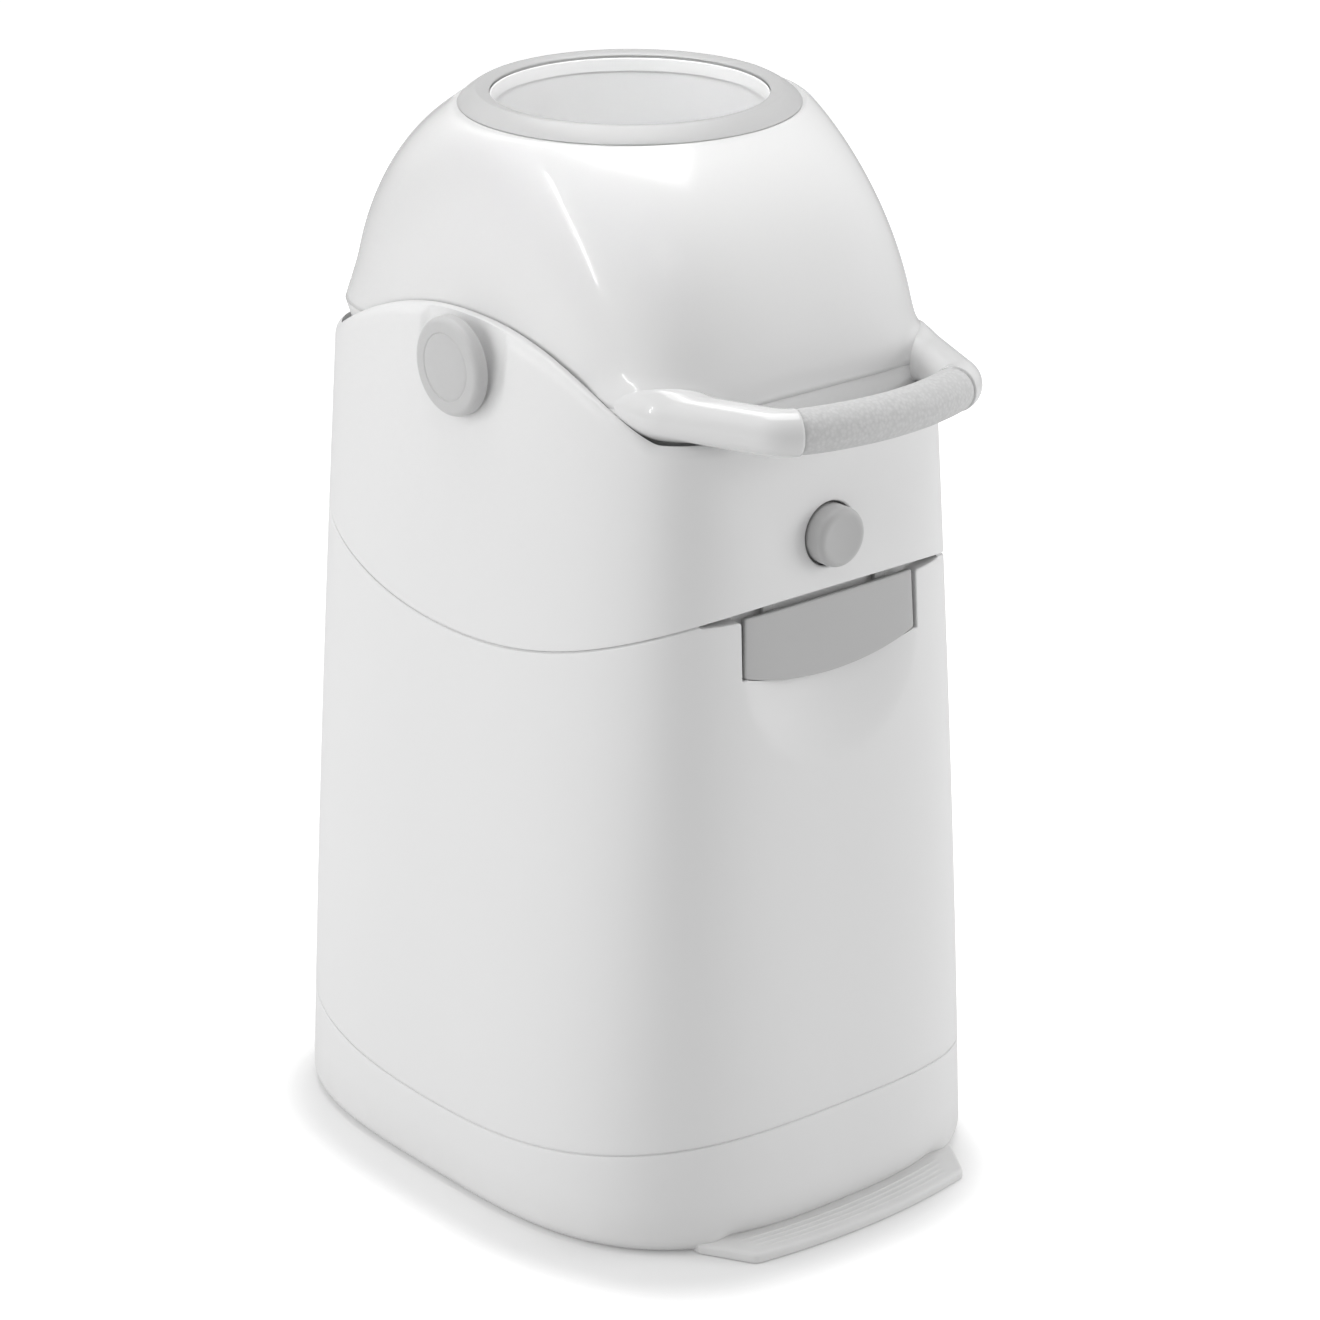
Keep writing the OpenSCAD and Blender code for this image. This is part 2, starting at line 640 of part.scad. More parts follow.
// Plan of the drum at height h above its axis: square at the axis, round at the ring.
function drum_u(h) = min(1, h / shell_top_h);
function drum_a(h) = ring_r + (drum_half_w - ring_r) * pow(1 - pow(drum_u(h), 5), 0.2);
function drum_b(h) = let (b = sqrt(drum_r * drum_r - h * h), e = drum_u(h))
    min(b, ring_r + (b - ring_r) * pow(1 - pow(e, 24), 0.5));
function drum_n(h) = 2 + (drum_pow - 2) * (1 - pow(drum_u(h), 1.25))
    + (belt_pow - drum_pow) * pow(max(0, 1 - h / belt_h), 2);
function drum_ring(h, inset = 0) = [for (i = [0:around - 1])
    at_z(plan_pt(drum_a(h) - inset, drum_b(h) - inset, drum_n(h), drum_n(h), turn(i)), h)];
function round_ring(h, r) = [for (i = [0:around - 1]) [r * cos(turn(i)), r * sin(turn(i)), h]];

module drum_half() {
    difference() {
        union() {
            skin(concat(
                [for (h = shell_levels) drum_ring(h)],
                [round_ring(shell_top_h, ring_r), round_ring(shell_top_h, lip_r),
                 round_ring(flange_h, lip_r), round_ring(flange_h, tube_r + tube_t + 4)],
                [for (h = [flange_h - 1.5, flange_h * 0.92, flange_h * 0.78, flange_h * 0.5, 0.1]) drum_ring(h, shell_t)]), loop = true);
            both_sides() intersection() {
                translate([root_x, 0, 0]) y_rod(-root_y + 1, arm_root_y - 1, arm_r + 2);
                skin([for (h = [0.1, 10, 20]) drum_ring(h, 1)]);
            }
        }
        both_sides() {
            translate([drum_half_w - 12, 0, 0]) x_rod(0, 20, trunnion_r + 0.05);
            arm(0.1, 1, 0.2);
        }
    }
}

module drum_shell_top() { color(WHITE) at_pivot() drum_half(); }
module drum_shell_bottom() { color(WHITE) at_pivot() mirror([0, 0, 1]) drum_half(); }

module chute_tube() {
    color(WHITE) at_pivot() translate([0, 0, -shell_top_h + 0.1]) difference() {
        cylinder(h = 2 * shell_top_h - 0.2, r = tube_r + tube_t);
        translate([0, 0, -1]) cylinder(h = 2 * shell_top_h + 2, r = tube_r);
    }
}

// Section of the opening ring: a low crest that slopes out to the drum's edge, over a
// spigot that seats in the tube's end and stops the piston.
module ring_profile() {
    n = 10;
    low = shell_top_h + 0.05;
    crest_r = opening_r + 8;
    polygon(concat(
        [[spigot_r, flange_h], [tube_r - seat, flange_h], [tube_r - seat, low], [ring_r - 0.4, low], [ring_r, low + 0.6]],
        [for (i = [1:n]) let (u = 90 * i / n)
            [crest_r + (ring_r - crest_r) * pow(cos(u), 1.7), low + 0.6 + (crest_h - low - 0.6) * pow(sin(u), 1.7)]],
        [for (i = [1:n]) let (u = 90 * i / n)
            [crest_r - 8 * sin(u), crest_h - ring_dip * (1 - cos(u))]],
        [[spigot_r, low + 1.5]]));
}
module drum_ring_trim() { rotate_extrude($fn = 144) ring_profile(); }
module ring_top() { color(LIGHT_GREY) at_pivot() drum_ring_trim(); }
module ring_bottom() { color(LIGHT_GREY) at_pivot() mirror([0, 0, 1]) drum_ring_trim(); }

cap_back = half_w(pivot_z - cap_r) + 0.5;
module trunnion() {
    in_x = drum_half_w - shell_t;
    at_pivot() difference() {
        union() {
            x_rod(in_x - 6, cap_back, trunnion_r);
        }
        x_rod(in_x - 7, cap_back - 3, trunnion_r - 4);
        x_rod(cap_back - 4, cap_back + 1, 5);
    }
}
module trunnion_left() { color(WHITE) mirror([1, 0, 0]) trunnion(); }
module trunnion_right() { color(WHITE) trunnion(); }

module side_cap() {
    edge = 3.6;
    groove_r = cap_r * 0.66;
    at_pivot() translate([cap_back, 0, 0]) rotate([0, 90, 0]) rotate_extrude() difference() {
        union() {
            square([cap_r - edge, cap_t]);
            square([cap_r, cap_t - edge]);
            translate([cap_r - edge, cap_t - edge]) circle(r = edge, $fn = 48);
            translate([0, -4]) square([4.9, 5]);
        }
        translate([groove_r, cap_t - 0.5]) square([0.9, 2]);
    }
}
module cap_left() { color(MID_GREY) mirror([1, 0, 0]) side_cap(); }
module cap_right() { color(MID_GREY) side_cap(); }

bend_cy = -grip_reach + grip_bend;            // centre of the grip's bend
grip_a = asin(grip_half_w / grip_bend);
grip_end = [grip_half_w, bend_cy - grip_bend * cos(grip_a)];
corner_c = grip_end + arm_bend * [-sin(grip_a), cos(grip_a)];
arm_start = corner_c + arm_bend * [sin(arm_angle), -cos(arm_angle)];
arm_end_y = -root_y - root_bend * cos(arm_angle);
arm_len = (arm_end_y - arm_start[1]) / sin(arm_angle);
root_x = arm_start[0] + arm_len * cos(arm_angle) + root_bend * (1 - sin(arm_angle));
core_r = grip_r - 3;

// A round bar bent in the drum's plane: radius r round centre c, between two angles.
module bent_bar(c, bend, a0, a1, r, hollow = 0) {
    translate([c[0], c[1], 0]) rotate(a0) rotate_extrude(angle = a1 - a0, $fn = 144)
        translate([bend, 0]) difference() {
            circle(r = r, $fn = 48);
            if (hollow > 0) circle(r = hollow, $fn = 48);
        }
}

// The right arm: straight inside the drum, bent inward at its root, then straight
// to the corner beside the grip. It is grown for the sockets in the drum.
module arm(grow = 0, deeper = 0, bend_grow = 0) {
    r = arm_r + grow;
    lap = 0.5;                                 // lap of the straight runs in the bends
    translate([root_x, 0, 0]) y_rod(-root_y - lap, arm_root_y + deeper, r - 0.02);
    bent_bar([root_x - root_bend, -root_y], root_bend, arm_angle - 90, 0, r + bend_grow);
    translate([arm_start[0], arm_start[1], 0]) rotate(arm_angle) rotate([0, 90, 0])
        translate([0, 0, -lap]) cylinder(h = arm_len + 2 * lap, r = r - 0.02);
}

module handle_frame() {
    color(WHITE) at_pivot() {
        bent_bar([0, bend_cy], grip_bend, 269 - grip_a, 271 + grip_a, core_r);
        both_sides() {
            bent_bar(corner_c, arm_bend, 270 + grip_a, 270 + arm_angle, arm_r);
            arm();
        }
    }
}

module grip() {
    color(LIGHT_GREY) at_pivot()
        bent_bar([0, bend_cy], grip_bend, 270 - grip_a, 270 + grip_a, grip_r, core_r + 0.05);
}

// ---- piston -------------------------------------------------------------

piston_low = -flange_h + 0.3;
piston_r = tube_r - 0.6;
module piston() {
    dish = 5;
    seal_h = 3;
    color(LIGHT_GREY) at_pivot() translate([0, 0, piston_low]) rotate_extrude($fn = 120) difference() {
        square([piston_r, piston_h]);
        for (z = [0, piston_h]) translate([0, z]) polygon(
            [[-eps, -dish], [piston_r - 22, -dish], [piston_r - 12, 0], [piston_r - 22, dish], [-eps, dish]]);
        for (z = [8, piston_h - 8 - seal_h]) translate([piston_r - 2.5, z]) square([5, seal_h]);
    }
}

module piston_seals() {
    seal_h = 2.8;
    color(RUBBER) at_pivot() for (z = [8.1, piston_h - 8 - 2.9]) translate([0, 0, piston_low + z]) difference() {
        cylinder(h = seal_h, r = tube_r - 0.3);
        translate([0, 0, -1]) cylinder(h = seal_h + 2, r = piston_r - 2.4);
    }
}

// ---- what is drawn ------------------------------------------------------

base_plinth();
foot_plate();
foot_screws();
rubber_feet();
bin_body();
rim_seal();
hinge_pin();
head_housing();
drum_cradle();
drop_collar();
button_retainer();
lock_button();
button_spring();
latch_flap();
latch_pin();
drum_shell_top();
drum_shell_bottom();
chute_tube();
ring_top();
ring_bottom();
trunnion_left();
trunnion_right();
cap_left();
cap_right();
handle_frame();
grip();
piston();
piston_seals();
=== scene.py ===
"""Nappy bin with a turning drum: the dressed model on its construction frame.

Sizes are in millimetres in the shape code and become metres when a mesh is made.
The front faces -Y and +Z is up, as in the frame.
"""

import logging
import math
from dataclasses import dataclass, field
from enum import Enum
from typing import Sequence

import bmesh
import bpy
import numpy as np
from mathutils import Matrix, Vector


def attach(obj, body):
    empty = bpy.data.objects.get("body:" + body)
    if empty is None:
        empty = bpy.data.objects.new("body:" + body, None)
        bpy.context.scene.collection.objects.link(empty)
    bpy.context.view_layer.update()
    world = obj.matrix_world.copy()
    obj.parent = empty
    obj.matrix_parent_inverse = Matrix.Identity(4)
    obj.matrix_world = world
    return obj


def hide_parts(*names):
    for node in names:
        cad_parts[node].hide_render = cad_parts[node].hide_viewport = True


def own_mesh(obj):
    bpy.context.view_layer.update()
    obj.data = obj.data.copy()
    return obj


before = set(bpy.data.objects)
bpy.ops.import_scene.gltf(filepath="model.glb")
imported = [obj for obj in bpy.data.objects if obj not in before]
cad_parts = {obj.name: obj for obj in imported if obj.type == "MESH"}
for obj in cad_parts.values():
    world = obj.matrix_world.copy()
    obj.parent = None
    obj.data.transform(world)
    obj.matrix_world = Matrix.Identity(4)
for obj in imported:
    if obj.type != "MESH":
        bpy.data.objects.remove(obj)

LOG = logging.getLogger("nappy_bin")
MM = 0.001
AXIS = 0.0001  # radius of the ends of a solid profile, close to the axis
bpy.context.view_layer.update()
Rows = list[np.ndarray]
Point = tuple[float, float]
Places = list[tuple[np.ndarray | float, float]]
Piece = bpy.types.Object
Material = bpy.types.Material


# ---- Shape: the same outlines as the construction model --------


def mix(a: float, b: float, u: float) -> float:
    """Blend from a to b by u."""
    return a + (b - a) * u


def spow(v: np.ndarray, p: np.ndarray) -> np.ndarray:
    """Power that keeps the sign of its base."""
    return np.sign(v) * np.abs(v) ** p


def smoothstep(low: float, high: float, v: np.ndarray) -> np.ndarray:
    """Smooth rise from 0 at low to 1 at high."""
    u = np.clip((v - low) / (high - low), 0.0, 1.0)
    return u * u * (3 - 2 * u)


def plan_points(a: np.ndarray, b: np.ndarray, nx: np.ndarray, ny: np.ndarray, t: np.ndarray) -> np.ndarray:
    """Points of a rounded rectangle in plan, spread evenly round it.

    Args:
        a: Half width, one value or one for each point.
        b: Half depth.
        nx: Roundness exponent across the width.
        ny: Roundness exponent along the depth.
        t: Turn of each point, in radians.

    Returns:
        Array of x and y for each point.
    """
    m = (nx + ny) / 4
    u = np.arctan2(spow(np.sin(t), m), spow(np.cos(t), m))
    return np.stack([a * spow(np.cos(u), 2 / nx), b * spow(np.sin(u), 2 / ny)], axis=-1)


@dataclass(frozen=True)
class BinShape:
    """Driving sizes of the bin and the outlines that follow from them."""

    total_h: float = 623.5
    pivot_z: float = 487.5
    wall: float = 3.0
    base_w: float = 312.4
    base_d: float = 388.4
    neck_w: float = 239.0
    neck_d: float = 331.6
    neck_z: float = 500.0
    front_pow: Point = (2.7, 5.7)
    side_pow: Point = (3.4, 2.9)
    plinth_seam_z: float = 46.5
    plinth_seam_rise: float = 0.00064
    head_seam_z: float = 334.3
    head_seam_rise: float = 0.0014
    seam_gap: float = 0.8
    seam_r: float = 0.9
    rim_z: float = 472.5
    arch_rise: float = 42.5
    arch_half: float = 142.0
    arch_pow: Point = (2.2, 1.15)
    rim_roll: float = 7.0
    drum_r: float = 160.0
    drum_half_w: float = 108.5
    drum_pow: float = 4.4
    belt_pow: float = 5.5
    belt_h: float = 30.0
    drum_gap: float = 2.0
    opening_r: float = 77.4
    ring_r: float = 95.7
    ring_h: float = 7.8
    ring_dip: float = 2.6
    button_z: float = 408.0
    button_r: float = 17.0
    cap_r: float = 28.1
    hinge_r: float = 6.0
    hinge_bore: float = 2.55
    columns: int = 512

    def turns(self) -> np.ndarray:
        """Turn of each column of points round the bin."""
        return np.arange(self.columns) * 2 * math.pi / self.columns

    def half_w(self, z: np.ndarray) -> np.ndarray:
        """Half width of the outer wall at height z."""
        return mix(self.base_w, self.neck_w, z / self.neck_z) / 2

    def half_d(self, z: np.ndarray) -> np.ndarray:
        """Half depth of the outer wall at height z."""
        return mix(self.base_d, self.neck_d, z / self.neck_z) / 2

    def wall_row(self, z: np.ndarray, inset: float = 0.0) -> np.ndarray:
        """Ring of points on the outer wall.

        Args:
            z: Height, one value or one for each column.
            inset: Distance moved in from the wall.

        Returns:
            Array of points.
        """
        z = np.broadcast_to(np.asarray(z, float), (self.columns,))
        u = z / self.neck_z
        a, b = self.half_w(z) - inset, self.half_d(z) - inset
        plan = plan_points(a, b, mix(*self.front_pow, u), mix(*self.side_pow, u), self.turns())
        return np.column_stack([plan, z])

    def wall_rows(self, places: Places) -> Rows:
        """Rings of points on the outer wall, one for each height and inset."""
        return [self.wall_row(z, inset) for z, inset in places]

    def front_y(self, x: np.ndarray, z: np.ndarray) -> np.ndarray:
        """Depth coordinate of the front wall at x and z."""
        u = z / self.neck_z
        part = np.clip(np.abs(x) / self.half_w(z), 0, 0.9999) ** mix(*self.front_pow, u)
        return -self.half_d(z) * (1 - part) ** (1 / mix(*self.side_pow, u))

    def plinth_seam(self) -> np.ndarray:
        """Height of the lower seam at each column."""
        y = self.wall_row(self.plinth_seam_z)[:, 1]
        return self.plinth_seam_z + self.plinth_seam_rise * y * y

    def head_seam(self) -> np.ndarray:
        """Height of the upper seam at each column."""
        y = self.wall_row(self.head_seam_z)[:, 1]
        return self.head_seam_z + self.head_seam_rise * y * y

    @property
    def head_seam_front(self) -> float:
        """Height of the upper seam in the middle of the front."""
        return self.head_seam_z + self.head_seam_rise * (self.half_d(self.head_seam_z) * 0.96) ** 2

    @property
    def hinge(self) -> Point:
        """Depth and height of the hinge's axis behind the upper seam."""
        return self.half_d(self.head_seam_front) + 8.5, self.head_seam_front

    @property
    def latch_pin(self) -> Point:
        """Depth and height of the flap's pin in front, above the upper seam."""
        return -self.half_d(self.head_seam_front) + 8.6, self.head_seam_front + 7

    def rim(self, part: float = 0.0) -> np.ndarray:
        """Height of the arched rim at each column, part of the way from the wall to the mouth."""
        y = mix(self.wall_row(self.rim_z)[:, 1], self.mouth_row(self.rim_z)[:, 1], part)
        fall, crown = self.arch_pow
        arch = np.maximum(0, 1 - (np.abs(y) / self.arch_half) ** fall) ** crown
        return self.rim_z + self.arch_rise * arch

    def mouth_row(self, z: np.ndarray, grow: float = 0.0) -> np.ndarray:
        """Ring of points round the drum's mouth."""
        z = np.broadcast_to(np.asarray(z, float), (self.columns,))
        a, b = self.drum_half_w + self.drum_gap + grow, self.drum_r + self.drum_gap + 0.2 + grow
        plan = plan_points(a, b, self.belt_pow, self.belt_pow, self.turns())
        return np.column_stack([plan, z])

    @property
    def crest_h(self) -> float:
        """Height of the ring's crest above the drum's axis."""
        return self.total_h - self.pivot_z

    @property
    def shell_top_h(self) -> float:
        """Height of the dome's top edge above the drum's axis."""
        return self.crest_h - self.ring_h - 0.5

    def drum_row(self, h: float) -> np.ndarray:
        """Ring of points on the dome at height h above the drum's axis."""
        u = min(1.0, h / self.shell_top_h)
        a = self.ring_r + (self.drum_half_w - self.ring_r) * (1 - u**5) ** 0.2
        b = math.sqrt(self.drum_r**2 - h * h)
        b = min(b, self.ring_r + (b - self.ring_r) * (1 - u**24) ** 0.5)
        n = 2 + (self.drum_pow - 2) * (1 - u**1.25)
        n += (self.belt_pow - self.drum_pow) * max(0, 1 - h / self.belt_h) ** 2
        return np.column_stack([plan_points(a, b, n, n, self.turns()), np.full(self.columns, h)])


SHAPE = BinShape()


# ---- Meshes --------


def link_object(name: str, data: bpy.types.ID) -> Piece:
    """Put data into the scene as a new object."""
    obj = bpy.data.objects.new(name, data)
    bpy.context.scene.collection.objects.link(obj)
    return obj


def shade_smooth(mesh: bpy.types.Mesh, sharp_deg: float | None) -> None:
    """Shade a mesh smooth, with the edges above an angle kept sharp."""
    mesh.polygons.foreach_set("use_smooth", [True] * len(mesh.polygons))
    if sharp_deg is not None:
        mesh.set_sharp_from_angle(angle=math.radians(sharp_deg))


def make_object(
    name: str, verts: np.ndarray, faces: Sequence[Sequence[int]], sharp_deg: float | None = None
) -> Piece:
    """Make a smooth-shaded mesh object from points in millimetres.

    Args:
        name: Name of the piece.
        verts: Array of points.
        faces: Corner indices of each face.
        sharp_deg: Angle above which an edge stays sharp.

    Returns:
        The new object, linked to the scene.
    """
    mesh = bpy.data.meshes.new(name)
    mesh.from_pydata((np.asarray(verts) * MM).tolist(), [], [list(map(int, f)) for f in faces])
    mesh.validate()
    shade_smooth(mesh, sharp_deg)
    return link_object(name, mesh)


def skin(
    name: str, rows: Rows, loop: bool = False, caps: bool = False, sharp_deg: float | None = None
) -> Piece:
    """Make an object from a skin through closed rings.

    Args:
        name: Name of the piece.
        rows: Rings of points, all of one length.
        loop: Join the last ring to the first.
        caps: Close the first and the last ring with one face each.
        sharp_deg: Angle above which an edge stays sharp.

    Returns:
        The new object.
    """
    m, n = len(rows), len(rows[0])
    j = np.arange(n)
    k = (j + 1) % n
    faces: list = []
    for i in range(m if loop else m - 1):
        a, b = i * n, ((i + 1) % m) * n
        faces.extend(np.column_stack([a + j, a + k, b + k, b + j]).tolist())
    if caps:
        faces.append(list(range(n - 1, -1, -1)))
        faces.append(list(range((m - 1) * n, m * n)))
    return make_object(name, np.concatenate(rows), faces, sharp_deg)


def circle(r: float, h: float, steps: int) -> np.ndarray:
    """Ring of points round the Z axis."""
    t = np.arange(steps) * 2 * math.pi / steps
    return np.column_stack([r * np.cos(t), r * np.sin(t), np.full(steps, h)])


def lathe(
    name: str, profile: Sequence[Point], steps: int = 192, sharp_deg: float = 40, solid: bool = False
) -> Piece:
    """Turn a profile of (radius, height) points round the Z axis.

    Args:
        name: Name of the piece.
        profile: Points of the profile, in order.
        steps: Number of steps round the axis.
        sharp_deg: Angle above which an edge stays sharp.
        solid: The profile is open and starts and ends on the axis, and isn't a closed loop.

    Returns:
        The new object.
    """
    rows = [circle(r, h, steps) for r, h in profile]
    return skin(name, rows, loop=not solid, caps=solid, sharp_deg=sharp_deg)


def place(obj: Piece, matrix: Matrix) -> Piece:
    """Move a piece's mesh by a matrix in metres, and keep its faces outward."""
    obj.data.transform(matrix)
    if matrix.determinant() < 0:
        obj.data.flip_normals()
    return obj


def copy_piece(obj: Piece, name: str, matrix: Matrix) -> Piece:
    """Copy a piece under a new name and move the copy's mesh."""
    return place(link_object(name, obj.data.copy()), matrix)


def shift(x: float = 0, y: float = 0, z: float = 0) -> Matrix:
    """Translation by millimetres."""
    return Matrix.Translation((x * MM, y * MM, z * MM))


MIRROR_X = Matrix.Scale(-1, 4, (1, 0, 0))
MIRROR_Z = Matrix.Scale(-1, 4, (0, 0, 1))
Z_TO_X = Matrix.Rotation(math.radians(90), 4, "Y")
Z_TO_Y = Matrix.Rotation(math.radians(-90), 4, "X")


def carve(obj: Piece, cutter: Piece) -> None:
    """Cut a closed shape out of a closed piece and apply the result."""
    mod = obj.modifiers.new("cut", "BOOLEAN")
    mod.operation, mod.solver, mod.object = "DIFFERENCE", "EXACT", cutter
    graph = bpy.context.evaluated_depsgraph_get()
    mesh = bpy.data.meshes.new_from_object(obj.evaluated_get(graph))
    obj.modifiers.clear()
    obj.data = mesh
    shade_smooth(mesh, 32)
    bpy.data.objects.remove(cutter)


def join(parts: Sequence[Piece], name: str) -> Piece:
    """Join several meshes into one piece."""
    first = parts[0]
    bm = bmesh.new()
    for part in parts:
        bm.from_mesh(part.data)
    bm.to_mesh(first.data)
    bm.free()
    first.name = name
    for part in parts[1:]:
        bpy.data.objects.remove(part)
    return first


def knuckle(name: str, x0: float, x1: float, y: float, z: float, r: float, bore: float) -> Piece:
    """Make a hinge knuckle with softened ends along X."""
    e = 0.6
    profile = [(bore, x0 + 0.2), (r - e, x0), (r, x0 + e), (r, x1 - e), (r - e, x1), (bore, x1 - 0.2)]
    return place(place(lathe(name, profile, 64), Z_TO_X), shift(0, y, z))


def rounded_block(name: str, low: Sequence[float], high: Sequence[float], r: float) -> Piece:
    """Make a box with softened edges between two corners."""
    bm = bmesh.new()
    bmesh.ops.create_cube(bm, size=1.0)
    size = [h - l for l, h in zip(low, high)]
    for v in bm.verts:
        v.co = Vector([(l + s * (c + 0.5)) * MM for l, s, c in zip(low, size, v.co)])
    bmesh.ops.bevel(bm, geom=list(bm.edges), offset=r * MM, segments=3, profile=0.5, affect="EDGES")
    mesh = bpy.data.meshes.new(name)
    bm.to_mesh(mesh)
    bm.free()
    shade_smooth(mesh, 50)
    return link_object(name, mesh)


# ---- Outlines --------


def quarter(steps: int) -> np.ndarray:
    """Angles of a quarter turn in equal steps, in radians."""
    return np.radians(np.linspace(0, 90, steps + 1))


def roll(across: float, along: float, steps: int = 4) -> list[Point]:
    """Inset and setback along a rounded edge, from the lip's face to the wall."""
    return [(across * (1 - math.sin(u)), along * (1 - math.cos(u))) for u in quarter(steps)]


def bow_radius(half: float, bow: float) -> float:
    """Radius of an arc from its half width and its height."""
    return (half**2 + bow**2) / (2 * bow)


def bowed(half: float, bow: float, low: float, spread: np.ndarray) -> list[Point]:
    """Points of an arc that bows down between its ends, which lie at half and at height low."""
    r = bow_radius(half, bow)
    return [(x, low - bow + r - math.sqrt(r**2 - x * x)) for x in spread]


def outward(along: np.ndarray) -> np.ndarray:
    """Unit vectors to the right of the sides of a counter-clockwise outline."""
    return np.column_stack([along[:, 1], -along[:, 0]]) / np.linalg.norm(along, axis=1)[:, None]


def draw_in(ring: np.ndarray, inset: float) -> np.ndarray:
    """Move the points of a counter-clockwise ring inward."""
    return ring - outward(np.roll(ring, -1, 0) - np.roll(ring, 1, 0)) * inset


def offset_outline(points: Sequence[Point], d: float) -> np.ndarray:
    """Move every side of a counter-clockwise outline outward by d."""
    p = np.asarray(points, float)
    before, after = p - np.roll(p, 1, 0), np.roll(p, -1, 0) - p
    n0, n1 = outward(before), outward(after)
    return p + (n0 + n1) * (d / np.maximum(0.3, 1 + (n0 * n1).sum(1)))[:, None]


def round_outline(points: Sequence[Point], radii: Sequence[float], steps: int = 6) -> np.ndarray:
    """Round each corner of an outline by its own radius."""
    p = np.asarray(points, float)
    out = []
    for i, r in enumerate(radii):
        a, b, c = p[i - 1], p[i], p[(i + 1) % len(p)]
        if r < 0.05:
            out.append(b)
            continue
        u, v = (a - b) / np.linalg.norm(a - b), (c - b) / np.linalg.norm(c - b)
        reach = r / math.tan(math.acos(float(np.clip(u @ v, -1, 1))) / 2)
        start, end = b + u * reach, b + v * reach
        for s in np.linspace(0, 1, steps + 1):
            out.append((1 - s) ** 2 * start + 2 * s * (1 - s) * b + s * s * end)
    return np.asarray(out)


def side_counts(points: np.ndarray, step: float) -> list[int]:
    """Number of parts for each side of an outline, so that no part is longer than step."""
    lengths = np.linalg.norm(np.roll(points, -1, 0) - points, axis=1)
    return [max(1, math.ceil(length / step)) for length in lengths]


def densify(points: np.ndarray, counts: Sequence[int]) -> np.ndarray:
    """Split each side of an outline into its number of parts."""
    out = []
    for a, b, count in zip(points, np.roll(points, -1, 0), counts):
        out.extend(a + (b - a) * (i / count) for i in range(count))
    return np.asarray(out)


def even(ring: np.ndarray, step: float = 4.0) -> np.ndarray:
    """Outline with no side longer than step."""
    return densify(ring, side_counts(ring, step))


def on_front(outline: np.ndarray, depth: float) -> np.ndarray:
    """Lay an outline of x and z on the front wall, sunk by depth."""
    x, z = outline[:, 0], outline[:, 1]
    return np.column_stack([x, SHAPE.front_y(x, z) + depth, z])


def front_cutter(
    outline: Sequence[Point], radii: Sequence[float], edge_r: float, depth: float, middle: Point
) -> Piece:
    """Shape that cuts a well with a rounded brim into the front wall.

    Args:
        outline: Counter-clockwise corners in x and z.
        radii: Corner radii.
        edge_r: Radius of the brim.
        depth: Depth of the well.
        middle: Point from which the whole outline can be seen.

    Returns:
        The cutter.
    """
    counts = side_counts(round_outline(outline, radii), 3.0)
    centre = np.array(middle)

    def layer(grow: float, sink: float, scale: float = 1.0) -> np.ndarray:
        """Ring of the cutter, grown, sunk and drawn toward the middle."""
        rounded = densify(round_outline(offset_outline(outline, grow), radii), counts)
        return on_front(centre + (rounded - centre) * scale, sink)

    scales = (0.02, 0.15, 0.3, 0.45, 0.6, 0.75, 0.9)
    over, skim, toe = -4.0, 0.12, 0.8
    rows = [layer(edge_r, over, scale) for scale in scales + (1.0,)]
    rows += [layer(inset, back - skim) for inset, back in roll(edge_r, edge_r + skim, 5)]
    rows.append(layer(0.0, depth - toe))
    rows += [layer(-toe, depth, scale) for scale in (1.0,) + scales[::-1]]
    return skin("cutter", rows[::-1], caps=True)


# ---- Finishes --------

Colour = tuple[float, float, float, float]
Socket = bpy.types.NodeSocket


class Grain(Enum):
    """Fine relief of a moulded surface: depth in millimetres, scale and orange peel."""

    POLISHED = (0.006, 1400.0, 1.2)
    SATIN = (0.02, 1100.0, 0.5)
    STIPPLED = (0.06, 700.0, 0.5)


